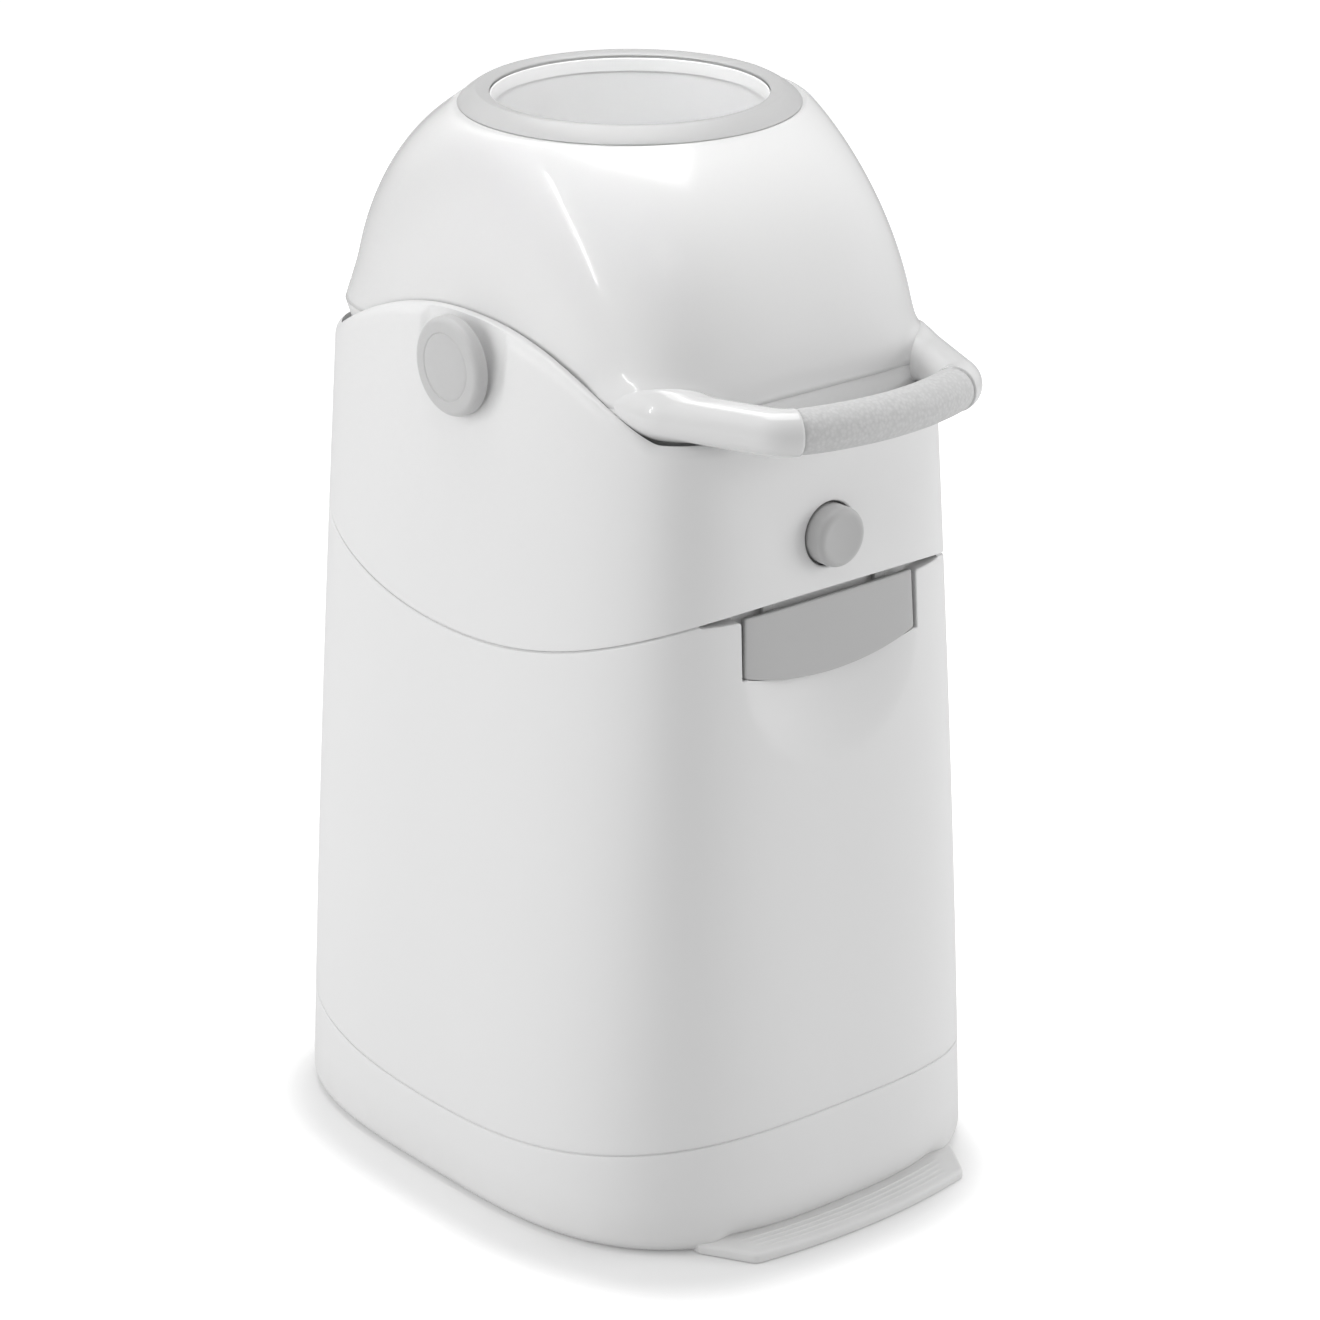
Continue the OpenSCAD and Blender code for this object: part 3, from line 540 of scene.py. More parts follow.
class Graph:
    """Shader node tree that is built with short calls."""

    def __init__(self, tree: bpy.types.NodeTree) -> None:
        """Take the node tree to build in."""
        self.tree = tree

    def add(self, kind: str, links: dict | None = None, **settings: object) -> bpy.types.Node:
        """Add a node, set its properties and plug its inputs.

        Args:
            kind: Node class name without its ShaderNode part.
            links: Input name or index to an output socket or a value.
            settings: Node properties.

        Returns:
            The node.
        """
        node = self.tree.nodes.new("ShaderNode" + kind)
        for key, value in settings.items():
            setattr(node, key, value)
        for key, value in (links or {}).items():
            self.plug(value, node.inputs[key])
        return node

    def plug(self, value: object, socket: Socket) -> None:
        """Link an input to an output socket, or give it a plain value."""
        if isinstance(value, Socket):
            self.tree.links.new(value, socket)
        else:
            socket.default_value = value

    def here(self) -> Socket:
        """Place of the shaded point in its object."""
        return self.add("TexCoord").outputs["Object"]

    def math(self, operation: str, *values: object, clamp: bool = False) -> Socket:
        """Result of a math node."""
        return self.add("Math", dict(enumerate(values)), operation=operation, use_clamp=clamp).outputs[0]

    def noise(self, where: Socket, scale: object, detail: float = 2.0, roughness: float = 0.5) -> Socket:
        """Value of a noise texture."""
        links = {"Vector": where, "Scale": scale, "Detail": detail, "Roughness": roughness}
        return self.add("TexNoise", links).outputs[0]

    def remap(self, value: Socket, low: object, high: object, to_low: object = 0.0, to_high: object = 1.0,
              **settings: object) -> Socket:
        """Value moved from one range to another."""
        links = {"Value": value, "From Min": low, "From Max": high, "To Min": to_low, "To Max": to_high}
        return self.add("MapRange", links, **settings).outputs[0]

    def tint(self, share: Socket, first: object, second: object) -> Socket:
        """Colour between two colours."""
        return self.add("Mix", {0: share, 6: first, 7: second}, data_type="RGBA").outputs[2]


def new_group(
    name: str, inputs: dict[str, object], outputs: Sequence[str]
) -> tuple[Graph, bpy.types.NodeOutputs, bpy.types.NodeInputs]:
    """Make an empty shader node group with named sockets.

    Args:
        name: Name of the group.
        inputs: Socket name to its default value, a colour or a number.
        outputs: Socket names; Color is a colour and the others are numbers.

    Returns:
        The group's graph, the sockets that it reads and the sockets that it fills.
    """
    tree = bpy.data.node_groups.new(name, "ShaderNodeTree")
    number, colour = "NodeSocketFloat", "NodeSocketColor"
    for label, value in inputs.items():
        kind = colour if isinstance(value, tuple) else number
        tree.interface.new_socket(label, in_out="INPUT", socket_type=kind).default_value = value
    for label in outputs:
        tree.interface.new_socket(label, in_out="OUTPUT", socket_type=colour if label == "Color" else number)
    return Graph(tree), tree.nodes.new("NodeGroupInput").outputs, tree.nodes.new("NodeGroupOutput").inputs


def grey(v: float) -> Colour:
    """Neutral colour."""
    return (v, v, v, 1.0)


def moulding_group() -> bpy.types.NodeTree:
    """Group for moulded plastic: faint flow mottle, soft sheen patches and orange peel."""
    inputs = {"Tint": grey(0.8), "Shade": grey(0.7), "Mottle": 0.2, "Rough Low": 0.2, "Rough High": 0.4,
              "Grain Scale": 900.0, "Peel": 0.3}
    graph, gin, gout = new_group("moulded_surface", inputs, ("Color", "Roughness", "Height"))
    here = graph.here()
    broad = graph.noise(here, 7.0, 4.0, 0.55)
    fine = graph.noise(here, gin["Grain Scale"])
    peel = graph.noise(here, 160.0, 1.0)
    rubs = graph.remap(graph.noise(here, 24.0), 0.4, 0.8)
    blotch = graph.math("MULTIPLY", broad, gin["Mottle"])
    graph.plug(graph.tint(blotch, gin["Tint"], gin["Shade"]), gout["Color"])
    worn = graph.math("ADD", broad, graph.math("MULTIPLY", rubs, 0.15), clamp=True)
    graph.plug(graph.remap(worn, 0.3, 1.0, gin["Rough Low"], gin["Rough High"]), gout["Roughness"])
    graph.plug(graph.math("ADD", fine, graph.math("MULTIPLY", peel, gin["Peel"])), gout["Height"])
    return graph.tree


def stipple_group() -> bpy.types.NodeTree:
    """Group for the soft grip: close speckles in colour, sheen and relief."""
    inputs = {"Tint": grey(0.5), "Speck": grey(0.3), "Size": 420.0, "Amount": 0.6, "Rough": 0.6}
    graph, gin, gout = new_group("speckled_grip", inputs, ("Color", "Roughness", "Height"))
    here = graph.here()
    cells = graph.add("TexVoronoi", {"Vector": here, "Scale": gin["Size"], "Randomness": 1.0})
    cloud = graph.noise(here, gin["Size"], 3.0, 0.7)
    mask = graph.math("MULTIPLY", graph.remap(cells.outputs["Distance"], 0.2, 0.65), cloud)
    amount = graph.math("MULTIPLY", mask, gin["Amount"])
    graph.plug(graph.tint(amount, gin["Tint"], gin["Speck"]), gout["Color"])
    graph.plug(graph.math("MULTIPLY_ADD", cloud, 0.2, gin["Rough"]), gout["Roughness"])
    graph.plug(graph.math("SUBTRACT", 1.0, mask), gout["Height"])
    return graph.tree


def floor_scuff_group() -> bpy.types.NodeTree:
    """Group for dust and scuffs that gather on the lowest part of the bin."""
    inputs = {"Color": grey(0.8), "Roughness": 0.3, "Dust": (0.55, 0.54, 0.52, 1), "Top": 0.03, "Amount": 0.3}
    graph, gin, gout = new_group("floor_scuffs", inputs, ("Color", "Roughness"))
    here = graph.here()
    height = graph.add("SeparateXYZ", {0: here}).outputs[2]
    low = graph.remap(height, 0.0, gin["Top"], 1.0, 0.0)
    grime = graph.math("MULTIPLY", low, graph.noise(here, 45.0, 5.0, 0.65))
    mask = graph.math("MULTIPLY", grime, gin["Amount"])
    graph.plug(graph.tint(mask, gin["Color"], gin["Dust"]), gout["Color"])
    graph.plug(graph.math("MULTIPLY_ADD", mask, 0.5, gin["Roughness"]), gout["Roughness"])
    return graph.tree


MOULDING = moulding_group()
STIPPLE = stipple_group()
SCUFFS = floor_scuff_group()


class Surface(Graph):
    """Material in the making, with its Principled surface."""

    def __init__(self, name: str) -> None:
        """Make an empty material."""
        self.material = bpy.data.materials.new(name)
        self.material.use_nodes = True
        super().__init__(self.material.node_tree)

    def use(self, group: bpy.types.NodeTree, links: dict) -> bpy.types.NodeOutputs:
        """Outputs of a node group that is placed with its own values."""
        return self.add("Group", links, node_tree=group).outputs

    def finish(
        self, look: dict[str, Socket], strength: float, depth_mm: float, plain: dict[str, float]
    ) -> Material:
        """Plug the surface.

        Args:
            look: Color, Roughness and Height.
            strength: Strength of the relief.
            depth_mm: Depth of the relief.
            plain: Other inputs of the surface.

        Returns:
            The material.
        """
        bump = self.add("Bump", {"Height": look["Height"], "Strength": strength, "Distance": depth_mm * MM})
        values = {"Base Color": look["Color"], "Roughness": look["Roughness"], **plain}
        values["Normal"] = bump.outputs[0]
        for key, value in values.items():
            self.plug(value, self.tree.nodes["Principled BSDF"].inputs[key])
        return self.material


@dataclass(frozen=True)
class Plastic:
    """Moulded plastic with its colour, gloss and grain."""

    name: str
    tint: float
    shade: float
    rough: tuple[float, float]
    coat: float = 0.0
    grain: Grain = Grain.POLISHED
    dusty: bool = False
    mottle: float = 0.35
    ior: float = 1.49
    coat_rough: float = 0.06

    def build(self) -> Material:
        """Make the material."""
        surface = Surface(self.name)
        depth_mm, scale, peel = self.grain.value
        out = surface.use(MOULDING, {
            "Tint": grey(self.tint), "Shade": grey(self.shade), "Mottle": self.mottle,
            "Rough Low": self.rough[0], "Rough High": self.rough[1], "Grain Scale": scale, "Peel": peel})
        look = {key: out[key] for key in ("Color", "Roughness", "Height")}
        if self.dusty:
            low = surface.use(SCUFFS, {key: look[key] for key in ("Color", "Roughness")})
            look |= {key: low[key] for key in ("Color", "Roughness")}
        coat = {"Coat Weight": self.coat, "Coat Roughness": self.coat_rough}
        return surface.finish(look, 0.5, depth_mm, {"IOR": self.ior, **coat})


@dataclass(frozen=True)
class SoftGrip:
    """Speckled soft-touch sleeve."""

    name: str = "speckled_sleeve"
    tint: float = 0.66
    speck: float = 0.47
    rough: float = 0.5

    def build(self) -> Material:
        """Make the material."""
        surface = Surface(self.name)
        look = surface.use(STIPPLE, {"Tint": grey(self.tint), "Speck": grey(self.speck), "Rough": self.rough})
        return surface.finish(look, 0.7, 0.25, {"IOR": 1.45})


@dataclass(frozen=True)
class BrushedSteel:
    """Plain steel of pins, screws and the spring."""

    name: str = "plain_steel"

    def build(self) -> Material:
        """Make the material."""
        surface = Surface(self.name)
        drawn = surface.add("Mapping", {"Vector": surface.here(), "Scale": (60.0, 1500.0, 1500.0)}).outputs[0]
        lines = surface.noise(drawn, 1.0, 3.0)
        look = {"Color": surface.tint(lines, grey(0.62), grey(0.45)), "Height": lines,
                "Roughness": surface.remap(lines, 0.0, 1.0, 0.22, 0.42)}
        return surface.finish(look, 0.3, 0.01, {"Metallic": 1.0})


class Palette:
    """All finishes of the bin, built once."""

    def __init__(self) -> None:
        """Build every finish."""
        satin, stippled = Grain.SATIN, Grain.STIPPLED
        self.body = Plastic("white_shell", 0.80, 0.77, (0.32, 0.40), coat=0.1, dusty=True).build()
        self.dome = Plastic("white_dome", 0.77, 0.75, (0.18, 0.24), coat=0.5).build()
        self.inner = Plastic("white_inner", 0.74, 0.68, (0.4, 0.55), grain=satin).build()
        self.ring = Plastic("pale_ring", 0.50, 0.465, (0.3, 0.42), grain=satin).build()
        self.accent = Plastic("light_grey", 0.50, 0.47, (0.3, 0.42), grain=satin).build()
        self.cap = Plastic("cap_grey", 0.56, 0.53, (0.3, 0.4), grain=satin).build()
        self.piston = Plastic("piston_grey", 0.62, 0.57, (0.4, 0.5), grain=satin).build()
        self.rubber = Plastic("dark_rubber", 0.05, 0.04, (0.6, 0.8), grain=stippled).build()
        # Painted light: the tube and its linings are tinted brighter than the other white parts so the dim
        # inside of the chute reads as lit.
        self.tube = Plastic("white_tube_painted_light", 0.95, 0.93, (0.35, 0.45), grain=satin).build()
        self.grip = SoftGrip().build()
        self.steel = BrushedSteel().build()


# ---- Sub-assemblies --------


def dress(obj: Piece, material: Material) -> None:
    """Give an object one finish."""
    obj.data.materials.clear()
    obj.data.materials.append(material)


def dress_nodes(finishes: dict[str, Material]) -> None:
    """Give the construction nodes that stay in view their finishes."""
    for node, material in finishes.items():
        dress(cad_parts[node], material)


def finish_piece(obj: Piece, material: Material, body: str, nodes: Sequence[str] = ()) -> None:
    """Dress a piece and tie it to the frame.

    Args:
        obj: The piece.
        material: Its finish.
        body: Body that it moves with.
        nodes: Construction nodes that it stands for.
    """
    dress(obj, material)
    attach(obj, body)
    if nodes:
        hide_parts(*nodes)


def lower_lip(z: np.ndarray) -> Places:
    """Rounded edge at the lower end of a wall, from the lip's face up to the wall."""
    return [(z + back, inset) for inset, back in roll(SHAPE.seam_r, SHAPE.seam_r)]


def upper_lip(z: np.ndarray) -> Places:
    """Rounded edge at the upper end of a wall, from the wall up to the lip's face."""
    return [(z - back, inset) for inset, back in reversed(roll(SHAPE.seam_r, SHAPE.seam_r))]


def hinge_part(x0: float, x1: float, low: float, high: float) -> list[Piece]:
    """Make a hinge knuckle and its lug, which lies between two heights from the hinge's axis."""
    y, z = SHAPE.hinge
    return [knuckle("knuckle", x0, x1, y, z, SHAPE.hinge_r, SHAPE.hinge_bore),
            rounded_block("lug", (x0, y - 12, z + low), (x1, y - 1.0, z + high), 0.8)]


@dataclass(frozen=True)
class BasePart:
    """Plinth with its rolled foot, seam lip and foot plate."""

    roll_r: float = 9.6
    foot_half_w: float = 79.6
    foot_root_half_w: float = 97.0
    foot_reach: float = 206.2
    foot_bow: float = 7.5
    foot_low: float = 0.2
    foot_t: float = 6.4
    foot_edge_r: float = 2.2
    cove: float = 11.0
    cove_h: float = 19.0
    tread_count: int = 4
    tread_step: float = 4.2
    tread_inset: Point = (9.0, 6.5)

    @property
    def bow_r(self) -> float:
        """Radius of the foot plate's front edge."""
        return bow_radius(self.foot_half_w, self.foot_bow)

    @property
    def bow_y(self) -> float:
        """Depth of the centre of the foot plate's front edge."""
        return -self.foot_reach - self.foot_bow + self.bow_r

    def plinth(self) -> Piece:
        """Loft the plinth's wall from its underside to the seam."""
        top, tuck, w = SHAPE.plinth_seam() - SHAPE.seam_gap / 2, self.roll_r * 0.9, SHAPE.wall
        places = [(0.0, tuck + 14), (0.0, tuck + 0.8)]
        places += [(back, inset) for inset, back in roll(tuck, self.roll_r, 12)]
        places += [(mix(self.roll_r, top - SHAPE.seam_r, v), 0.0) for v in np.linspace(0.08, 1, 12)[:-1]]
        places += upper_lip(top) + [(top, 2.4), (top - 0.6, w), (top - 14, w)]
        return skin("plinth_shell", [self.set_back(row) for row in SHAPE.wall_rows(places)], caps=True)

    def set_back(self, row: np.ndarray) -> np.ndarray:
        """Set the plinth's lower edge back above the foot plate."""
        x, y, z = row.T
        wide = 1 - smoothstep(self.foot_half_w - 6, self.foot_half_w + 12, np.abs(x))
        row[:, 1] += np.where(y < 0, self.cove * wide * np.clip(1 - z / self.cove_h, 0, 1) ** 1.6, 0)
        return row

    def seam_backing(self) -> Piece:
        """Make the step behind the open seam."""
        seam, out, back = SHAPE.plinth_seam(), 0.95, 2.8
        corners = [(seam - 5, out), (seam + 5, out), (seam + 5, back), (seam - 5, back)]
        return skin("seam_step", SHAPE.wall_rows(corners), loop=True, sharp_deg=40)

    def foot_outline(self) -> np.ndarray:
        """Outline of the foot plate in plan."""
        spread = self.foot_half_w * np.concatenate([[-1], np.linspace(-0.88, 0.88, 39), [1]])
        front = bowed(self.foot_half_w, self.foot_bow, -self.foot_reach, spread)
        w, root = self.foot_root_half_w, -SHAPE.half_d(0.0)
        points = front + [(w, root + 18), (w, root + 26), (-w, root + 26), (-w, root + 18)]
        ring = round_outline(points, [7.0] + [0.0] * 39 + [7.0, 3.0, 2.0, 2.0, 3.0], 8)
        return even(ring)

    def foot_plate(self) -> Piece:
        """Build the foot plate with rounded edges."""
        base, low, e = self.foot_outline(), self.foot_low, self.foot_edge_r
        shoulder, turns = low + self.foot_t - e, np.radians(np.linspace(15, 90, 6))
        edge = [(low, 1.0), (low + 0.6, 0.2), (low + 1.2, 0.0), (shoulder, 0.0)]
        edge += [(shoulder + e * math.sin(u), e * (1 - math.cos(u))) for u in turns]
        rows = [np.column_stack([draw_in(base, inset), np.full(len(base), z)]) for z, inset in edge]
        return skin("foot_plate_body", rows, caps=True)

    def treads(self) -> Piece:
        """Build the low ribs across the foot plate, parallel to its front edge."""
        top, cy = self.foot_low + self.foot_t, self.bow_y
        flank = [(1.3, -0.15), (1.0, 0.05), (0.55, 0.26)]
        section = flank + [(0.0, 0.34)] + [(-w, h) for w, h in reversed(flank)]
        count, steps = len(section), 60
        verts, faces = [], []
        for i in range(self.tread_count):
            start, r = len(verts), self.bow_r - self.tread_inset[1] - self.tread_step * i
            half = math.asin((self.foot_half_w - self.tread_inset[0] + 1.6 * i) / r)
            for a in np.linspace(-half, half, steps):
                taper = min(1.0, (half - abs(a)) / (half * 0.04) + 0.02)
                points = [(r + w, top + h * taper) for w, h in section]
                verts += [(q * math.sin(a), cy - q * math.cos(a), z) for q, z in points]
            corners = [start + k * count + m for k in range(steps - 1) for m in range(count - 1)]
            faces += [(c, c + 1, c + count + 1, c + count) for c in corners]
        return make_object("foot_treads", np.asarray(verts), faces)

    def build(self, palette: Palette) -> None:
        """Make and dress the base's pieces."""
        finish_piece(self.plinth(), palette.body, "bin", ["base_plinth"])
        finish_piece(self.seam_backing(), palette.inner, "bin")
        finish_piece(self.foot_plate(), palette.body, "bin", ["foot_plate"])
        finish_piece(self.treads(), palette.body, "bin")
        dress_nodes({"foot_screws": palette.steel, "rubber_feet": palette.rubber})


@dataclass(frozen=True)
class LatchPlace:
    """Sizes shared by the recess in the body and the flap on the head."""

    flap_half_w: float = 60.8
    flap_side_h: float = 34.0
    flap_bow: float = 9.5
    slit_half_w: float = 87.0
    recess_half_w: float = 63.8
    depth: float = 9.4
    gap: float = 0.8
    slit_h: float = 2.1
    scoop_r: float = 64.0
    scoop_drop: float = 33.0
    scoop_pow: float = 1.3
    slit_top: float = 12.0
    brim_r: float = 0.9
    back_span: Point = (110.0, 50.0)

    @property
    def flap_top(self) -> float:
        """Height of the flap's top edge."""
        return SHAPE.head_seam_front - SHAPE.seam_gap / 2 - 0.6

    def scoop(self, x: np.ndarray, z: np.ndarray) -> np.ndarray:
        """Depth of the finger scoop at x and z."""
        r = np.hypot(x, z - (SHAPE.head_seam_front - self.scoop_drop)) / self.scoop_r
        return (self.depth - 0.4) * np.maximum(0, 1 - r * r) ** self.scoop_pow


@dataclass(frozen=True)
class BinBody:
    """Tall body with the latch recess, the finger scoop and the hinge knuckles."""

    latch: LatchPlace = field(default_factory=LatchPlace)
    knuckle_near: float = 21.5
    knuckle_far: float = 40.0

    def shell(self) -> Piece:
        """Loft the body with its lips, its inside and its floor."""
        low, high = SHAPE.plinth_seam() + SHAPE.seam_gap / 2, SHAPE.head_seam() - SHAPE.seam_gap / 2
        w, e = SHAPE.wall, SHAPE.seam_r
        outside = [(low + 3, w), (low, 2.4)] + lower_lip(low)
        outside += [(mix(low + e, high - e, v), 0.0) for v in np.linspace(0, 1, 110)[1:-1]]
        outside += upper_lip(high) + [(high, 1.1), (high + 0.4, 1.2)]
        inside = [(high + 0.4, 2.0), (high - 0.5, w)]
        inside += [(mix(low + 26, high - 0.5, v), w) for v in np.linspace(1, 0, 24)[1:]]
        rows = [self.sink(row) for row in SHAPE.wall_rows(outside)]
        rows += [self.backed(SHAPE.wall_row(z, inset), inset) for z, inset in inside]
        return skin("body_shell", rows, caps=True)

    def sink(self, row: np.ndarray) -> np.ndarray:
        """Press the finger scoop into a ring of the outer wall."""
        x, y, z = row.T
        row[:, 1] += np.where(y < 0, self.latch.scoop(x, z), 0)
        return row

    def backed(self, row: np.ndarray, inset: float) -> np.ndarray:
        """Move the inner wall back behind the recess and the scoop."""
        x, y, z = row.T
        edge, seam, (start, full) = self.latch.slit_half_w, SHAPE.head_seam_front, self.latch.back_span
        wide, tall = 1 - smoothstep(edge - 6, edge + 8, np.abs(x)), smoothstep(seam - start, seam - full, z)
        row[:, 1] += np.where(y < 0, wide * tall * (self.latch.depth + 3.0 - inset + 0.6), 0)
        return row

    def recess_cutter(self) -> Piece:
        """Shape of the recess: a wide slit under the seam over a tapered well."""
        p, slit = self.latch, self.latch.slit_half_w
        top, shoulder = SHAPE.head_seam_front + p.slit_top, SHAPE.head_seam_front - p.slit_h
        low = p.flap_top - p.flap_side_h - p.gap
        bow = bowed(p.flap_half_w, p.flap_bow, low, np.linspace(-p.flap_half_w, p.flap_half_w, 31))
        right = [(p.recess_half_w + 0.4, low), (p.recess_half_w, shoulder), (slit, shoulder), (slit, top)]
        corners = right + [(-x, z) for x, z in reversed(right)] + bow
        radii = [0.8, 2, 1, 0.5, 0.5, 1, 2, 0.8] + [0.0] * len(bow)
        return front_cutter(corners, radii, p.brim_r, p.depth, (0.0, shoulder + 7.0))

    def build(self, palette: Palette) -> None:
        """Make and dress the body's pieces."""
        shell = self.shell()
        carve(shell, self.recess_cutter())
        near, far = self.knuckle_near, self.knuckle_far
        hinge = join([*hinge_part(-far, -near, -13, -2), *hinge_part(near, far, -13, -2)], "body_knuckles")
        finish_piece(shell, palette.body, "bin", ["bin_body"])
        finish_piece(hinge, palette.body, "bin")
        dress_nodes({"rim_seal": palette.rubber, "hinge_pin": palette.steel})


@dataclass(frozen=True)
class HeadPart:
    """Head with the arched rim, the cap pockets, the button well and the tongue."""

    pocket_half: float = 38.0
    pocket_depth: float = 4.0
    knuckle_half: float = 21.0
    ear_x: float = 46.0
    ear_w: float = 4.0
    sleeve_t: float = 2.95
    well_gap: float = 1.25
    well_depth: float = 9.0
    ledge_drop: float = 6.0
    ledge_w: float = 2.5
    tongue_h: float = 8.4
    latch_free: Point = (90.0, 93.0)
    hinge_free: Point = (100.0, 44.0)

    def sink_pocket(self, row: np.ndarray) -> np.ndarray:
        """Press the pockets round the caps into a ring of points."""
        x, y, z = row.T
        low, top = SHAPE.pivot_z - SHAPE.cap_r, SHAPE.rim_z + SHAPE.arch_rise
        lean = (SHAPE.half_w(low) - SHAPE.half_w(top) + self.pocket_depth) / (top - low)
        plane = SHAPE.half_w(low) - lean * (z - low)
        out = np.where(z < SHAPE.pivot_z, np.hypot(y, z - SHAPE.pivot_z), np.abs(y)) - self.pocket_half
        inside = 1 - smoothstep(-4.5, 1.6, out)
        row[:, 0] = np.sign(x) * (np.abs(x) - inside * np.maximum(0, np.abs(x) - plane))
        return row

    def shell(self) -> Piece:
        """Loft the head from its lower lip over the rim into the mouth."""
        low, rim, w = SHAPE.head_seam() + SHAPE.seam_gap / 2, SHAPE.rim(), SHAPE.wall
        wall = [(low + 0.5, w), (low, 2.0)] + lower_lip(low)
        wall += [(mix(low + SHAPE.seam_r, rim - SHAPE.rim_roll, v), 0.0) for v in np.linspace(0, 1, 90)[1:]]
        rows = SHAPE.wall_rows(wall)
        for drop, part in roll(SHAPE.rim_roll, 0.8, 14)[1:]:
            z = SHAPE.rim(part) - drop
            rows.append(mix(SHAPE.wall_row(z), SHAPE.mouth_row(z, -0.4), part))
        near = -0.8 * (1 - smoothstep(92, 116, np.abs(rows[0][:, 1])))
        rim, ledge = SHAPE.rim(1.0), SHAPE.rim_z - self.ledge_drop
        rows += [mix(rows[-1], SHAPE.mouth_row(rim, near), 0.7), SHAPE.mouth_row(rim - 0.5, near)]
        rows = [self.sink_pocket(row) for row in rows]
        mouth = ((np.maximum(rim - 5.0, ledge + 2), near), (np.maximum(rim - 6.5, ledge + 1), 0.0),
                 (ledge, 0.0), (ledge, self.ledge_w), (ledge - 22, self.ledge_w))
        rows += [SHAPE.mouth_row(z, grow) for z, grow in mouth]
        rows += SHAPE.wall_rows([(mix(ledge - 40, low + 0.5, v), w) for v in np.linspace(0, 1, 14)[:-1]])
        return skin("head_shell", rows, loop=True)

    def button_cutter(self) -> Piece:
        """Shape of the round well that the button sits in."""
        r, edge_r, skim = SHAPE.button_r + self.well_gap, 1.3, 0.1
        ring = [(r * math.cos(a), SHAPE.button_z + r * math.sin(a)) for a in np.radians(np.arange(0, 360, 5))]
        brim = [(inset, back - skim) for inset, back in roll(edge_r, 1.4, 5)]
        places = [(edge_r, -4.0), *brim, (0.0, self.well_depth)]
        rows = [on_front(offset_outline(ring, grow), sink) for grow, sink in reversed(places)]
        return skin("cutter", rows, caps=True)

    def tongue(self) -> Piece:
        """Loft the lip that drops inside the body's mouth and leaves the latch and the hinge free."""
        low, high = SHAPE.head_seam() - 3, SHAPE.head_seam() + self.tongue_h
        off, n = SHAPE.wall + 0.8, SHAPE.columns
        rows = SHAPE.wall_rows([(low, off), (high, off - 1.2), (high, off + 1.6), (low, off + 1.6)])
        x, y = np.abs(rows[0][:, 0]), rows[0][:, 1]
        (front, latch_w), (back, hinge_w) = self.latch_free, self.hinge_free
        keep = ~((y < -front) & (x < latch_w)) & ~((y > back) & (x < hinge_w))
        faces = []
        for i in range(len(rows)):
            a, b = i * n, (i + 1) % len(rows) * n
            for j in np.flatnonzero(keep & np.roll(keep, -1)):
                k = (j + 1) % n
                faces.append((a + j, a + k, b + k, b + j))
        return make_object("head_tongue", np.concatenate(rows), faces, 40)

    def build(self, palette: Palette) -> None:
        """Make and dress the head's pieces."""
        shell = self.shell()
        carve(shell, self.button_cutter())
        r, t = SHAPE.button_r + 0.05, self.sleeve_t
        profile = [(r, -6.4), (r + 2.6, -6.4), (r + t, -6.0), (r + t, 0.0), (r, 0.0)]
        sleeve = lathe("button_sleeve", profile, 128)
        place(place(sleeve, Z_TO_Y), shift(0, -SHAPE.half_d(SHAPE.button_z) + 14.5, SHAPE.button_z))
        hinge = join(hinge_part(-self.knuckle_half, self.knuckle_half, 4, 13), "head_knuckle")
        y, z = SHAPE.latch_pin
        ears = [rounded_block("ear", (x, y - 5.4, z - 4), (x + self.ear_w, y + 4, z + 10), 0.6)
                for x in (-self.ear_x - self.ear_w, self.ear_x)]
        finish_piece(shell, palette.body, "head", ["head_housing"])
        finish_piece(sleeve, palette.inner, "head")
        finish_piece(hinge, palette.body, "head")
        for obj in (join(ears, "latch_ears"), self.tongue()):
            finish_piece(obj, palette.inner, "head")
        dress_nodes({"drum_cradle": palette.inner, "drop_collar": palette.rubber,
                     "button_retainer": palette.inner, "latch_pin": palette.steel})


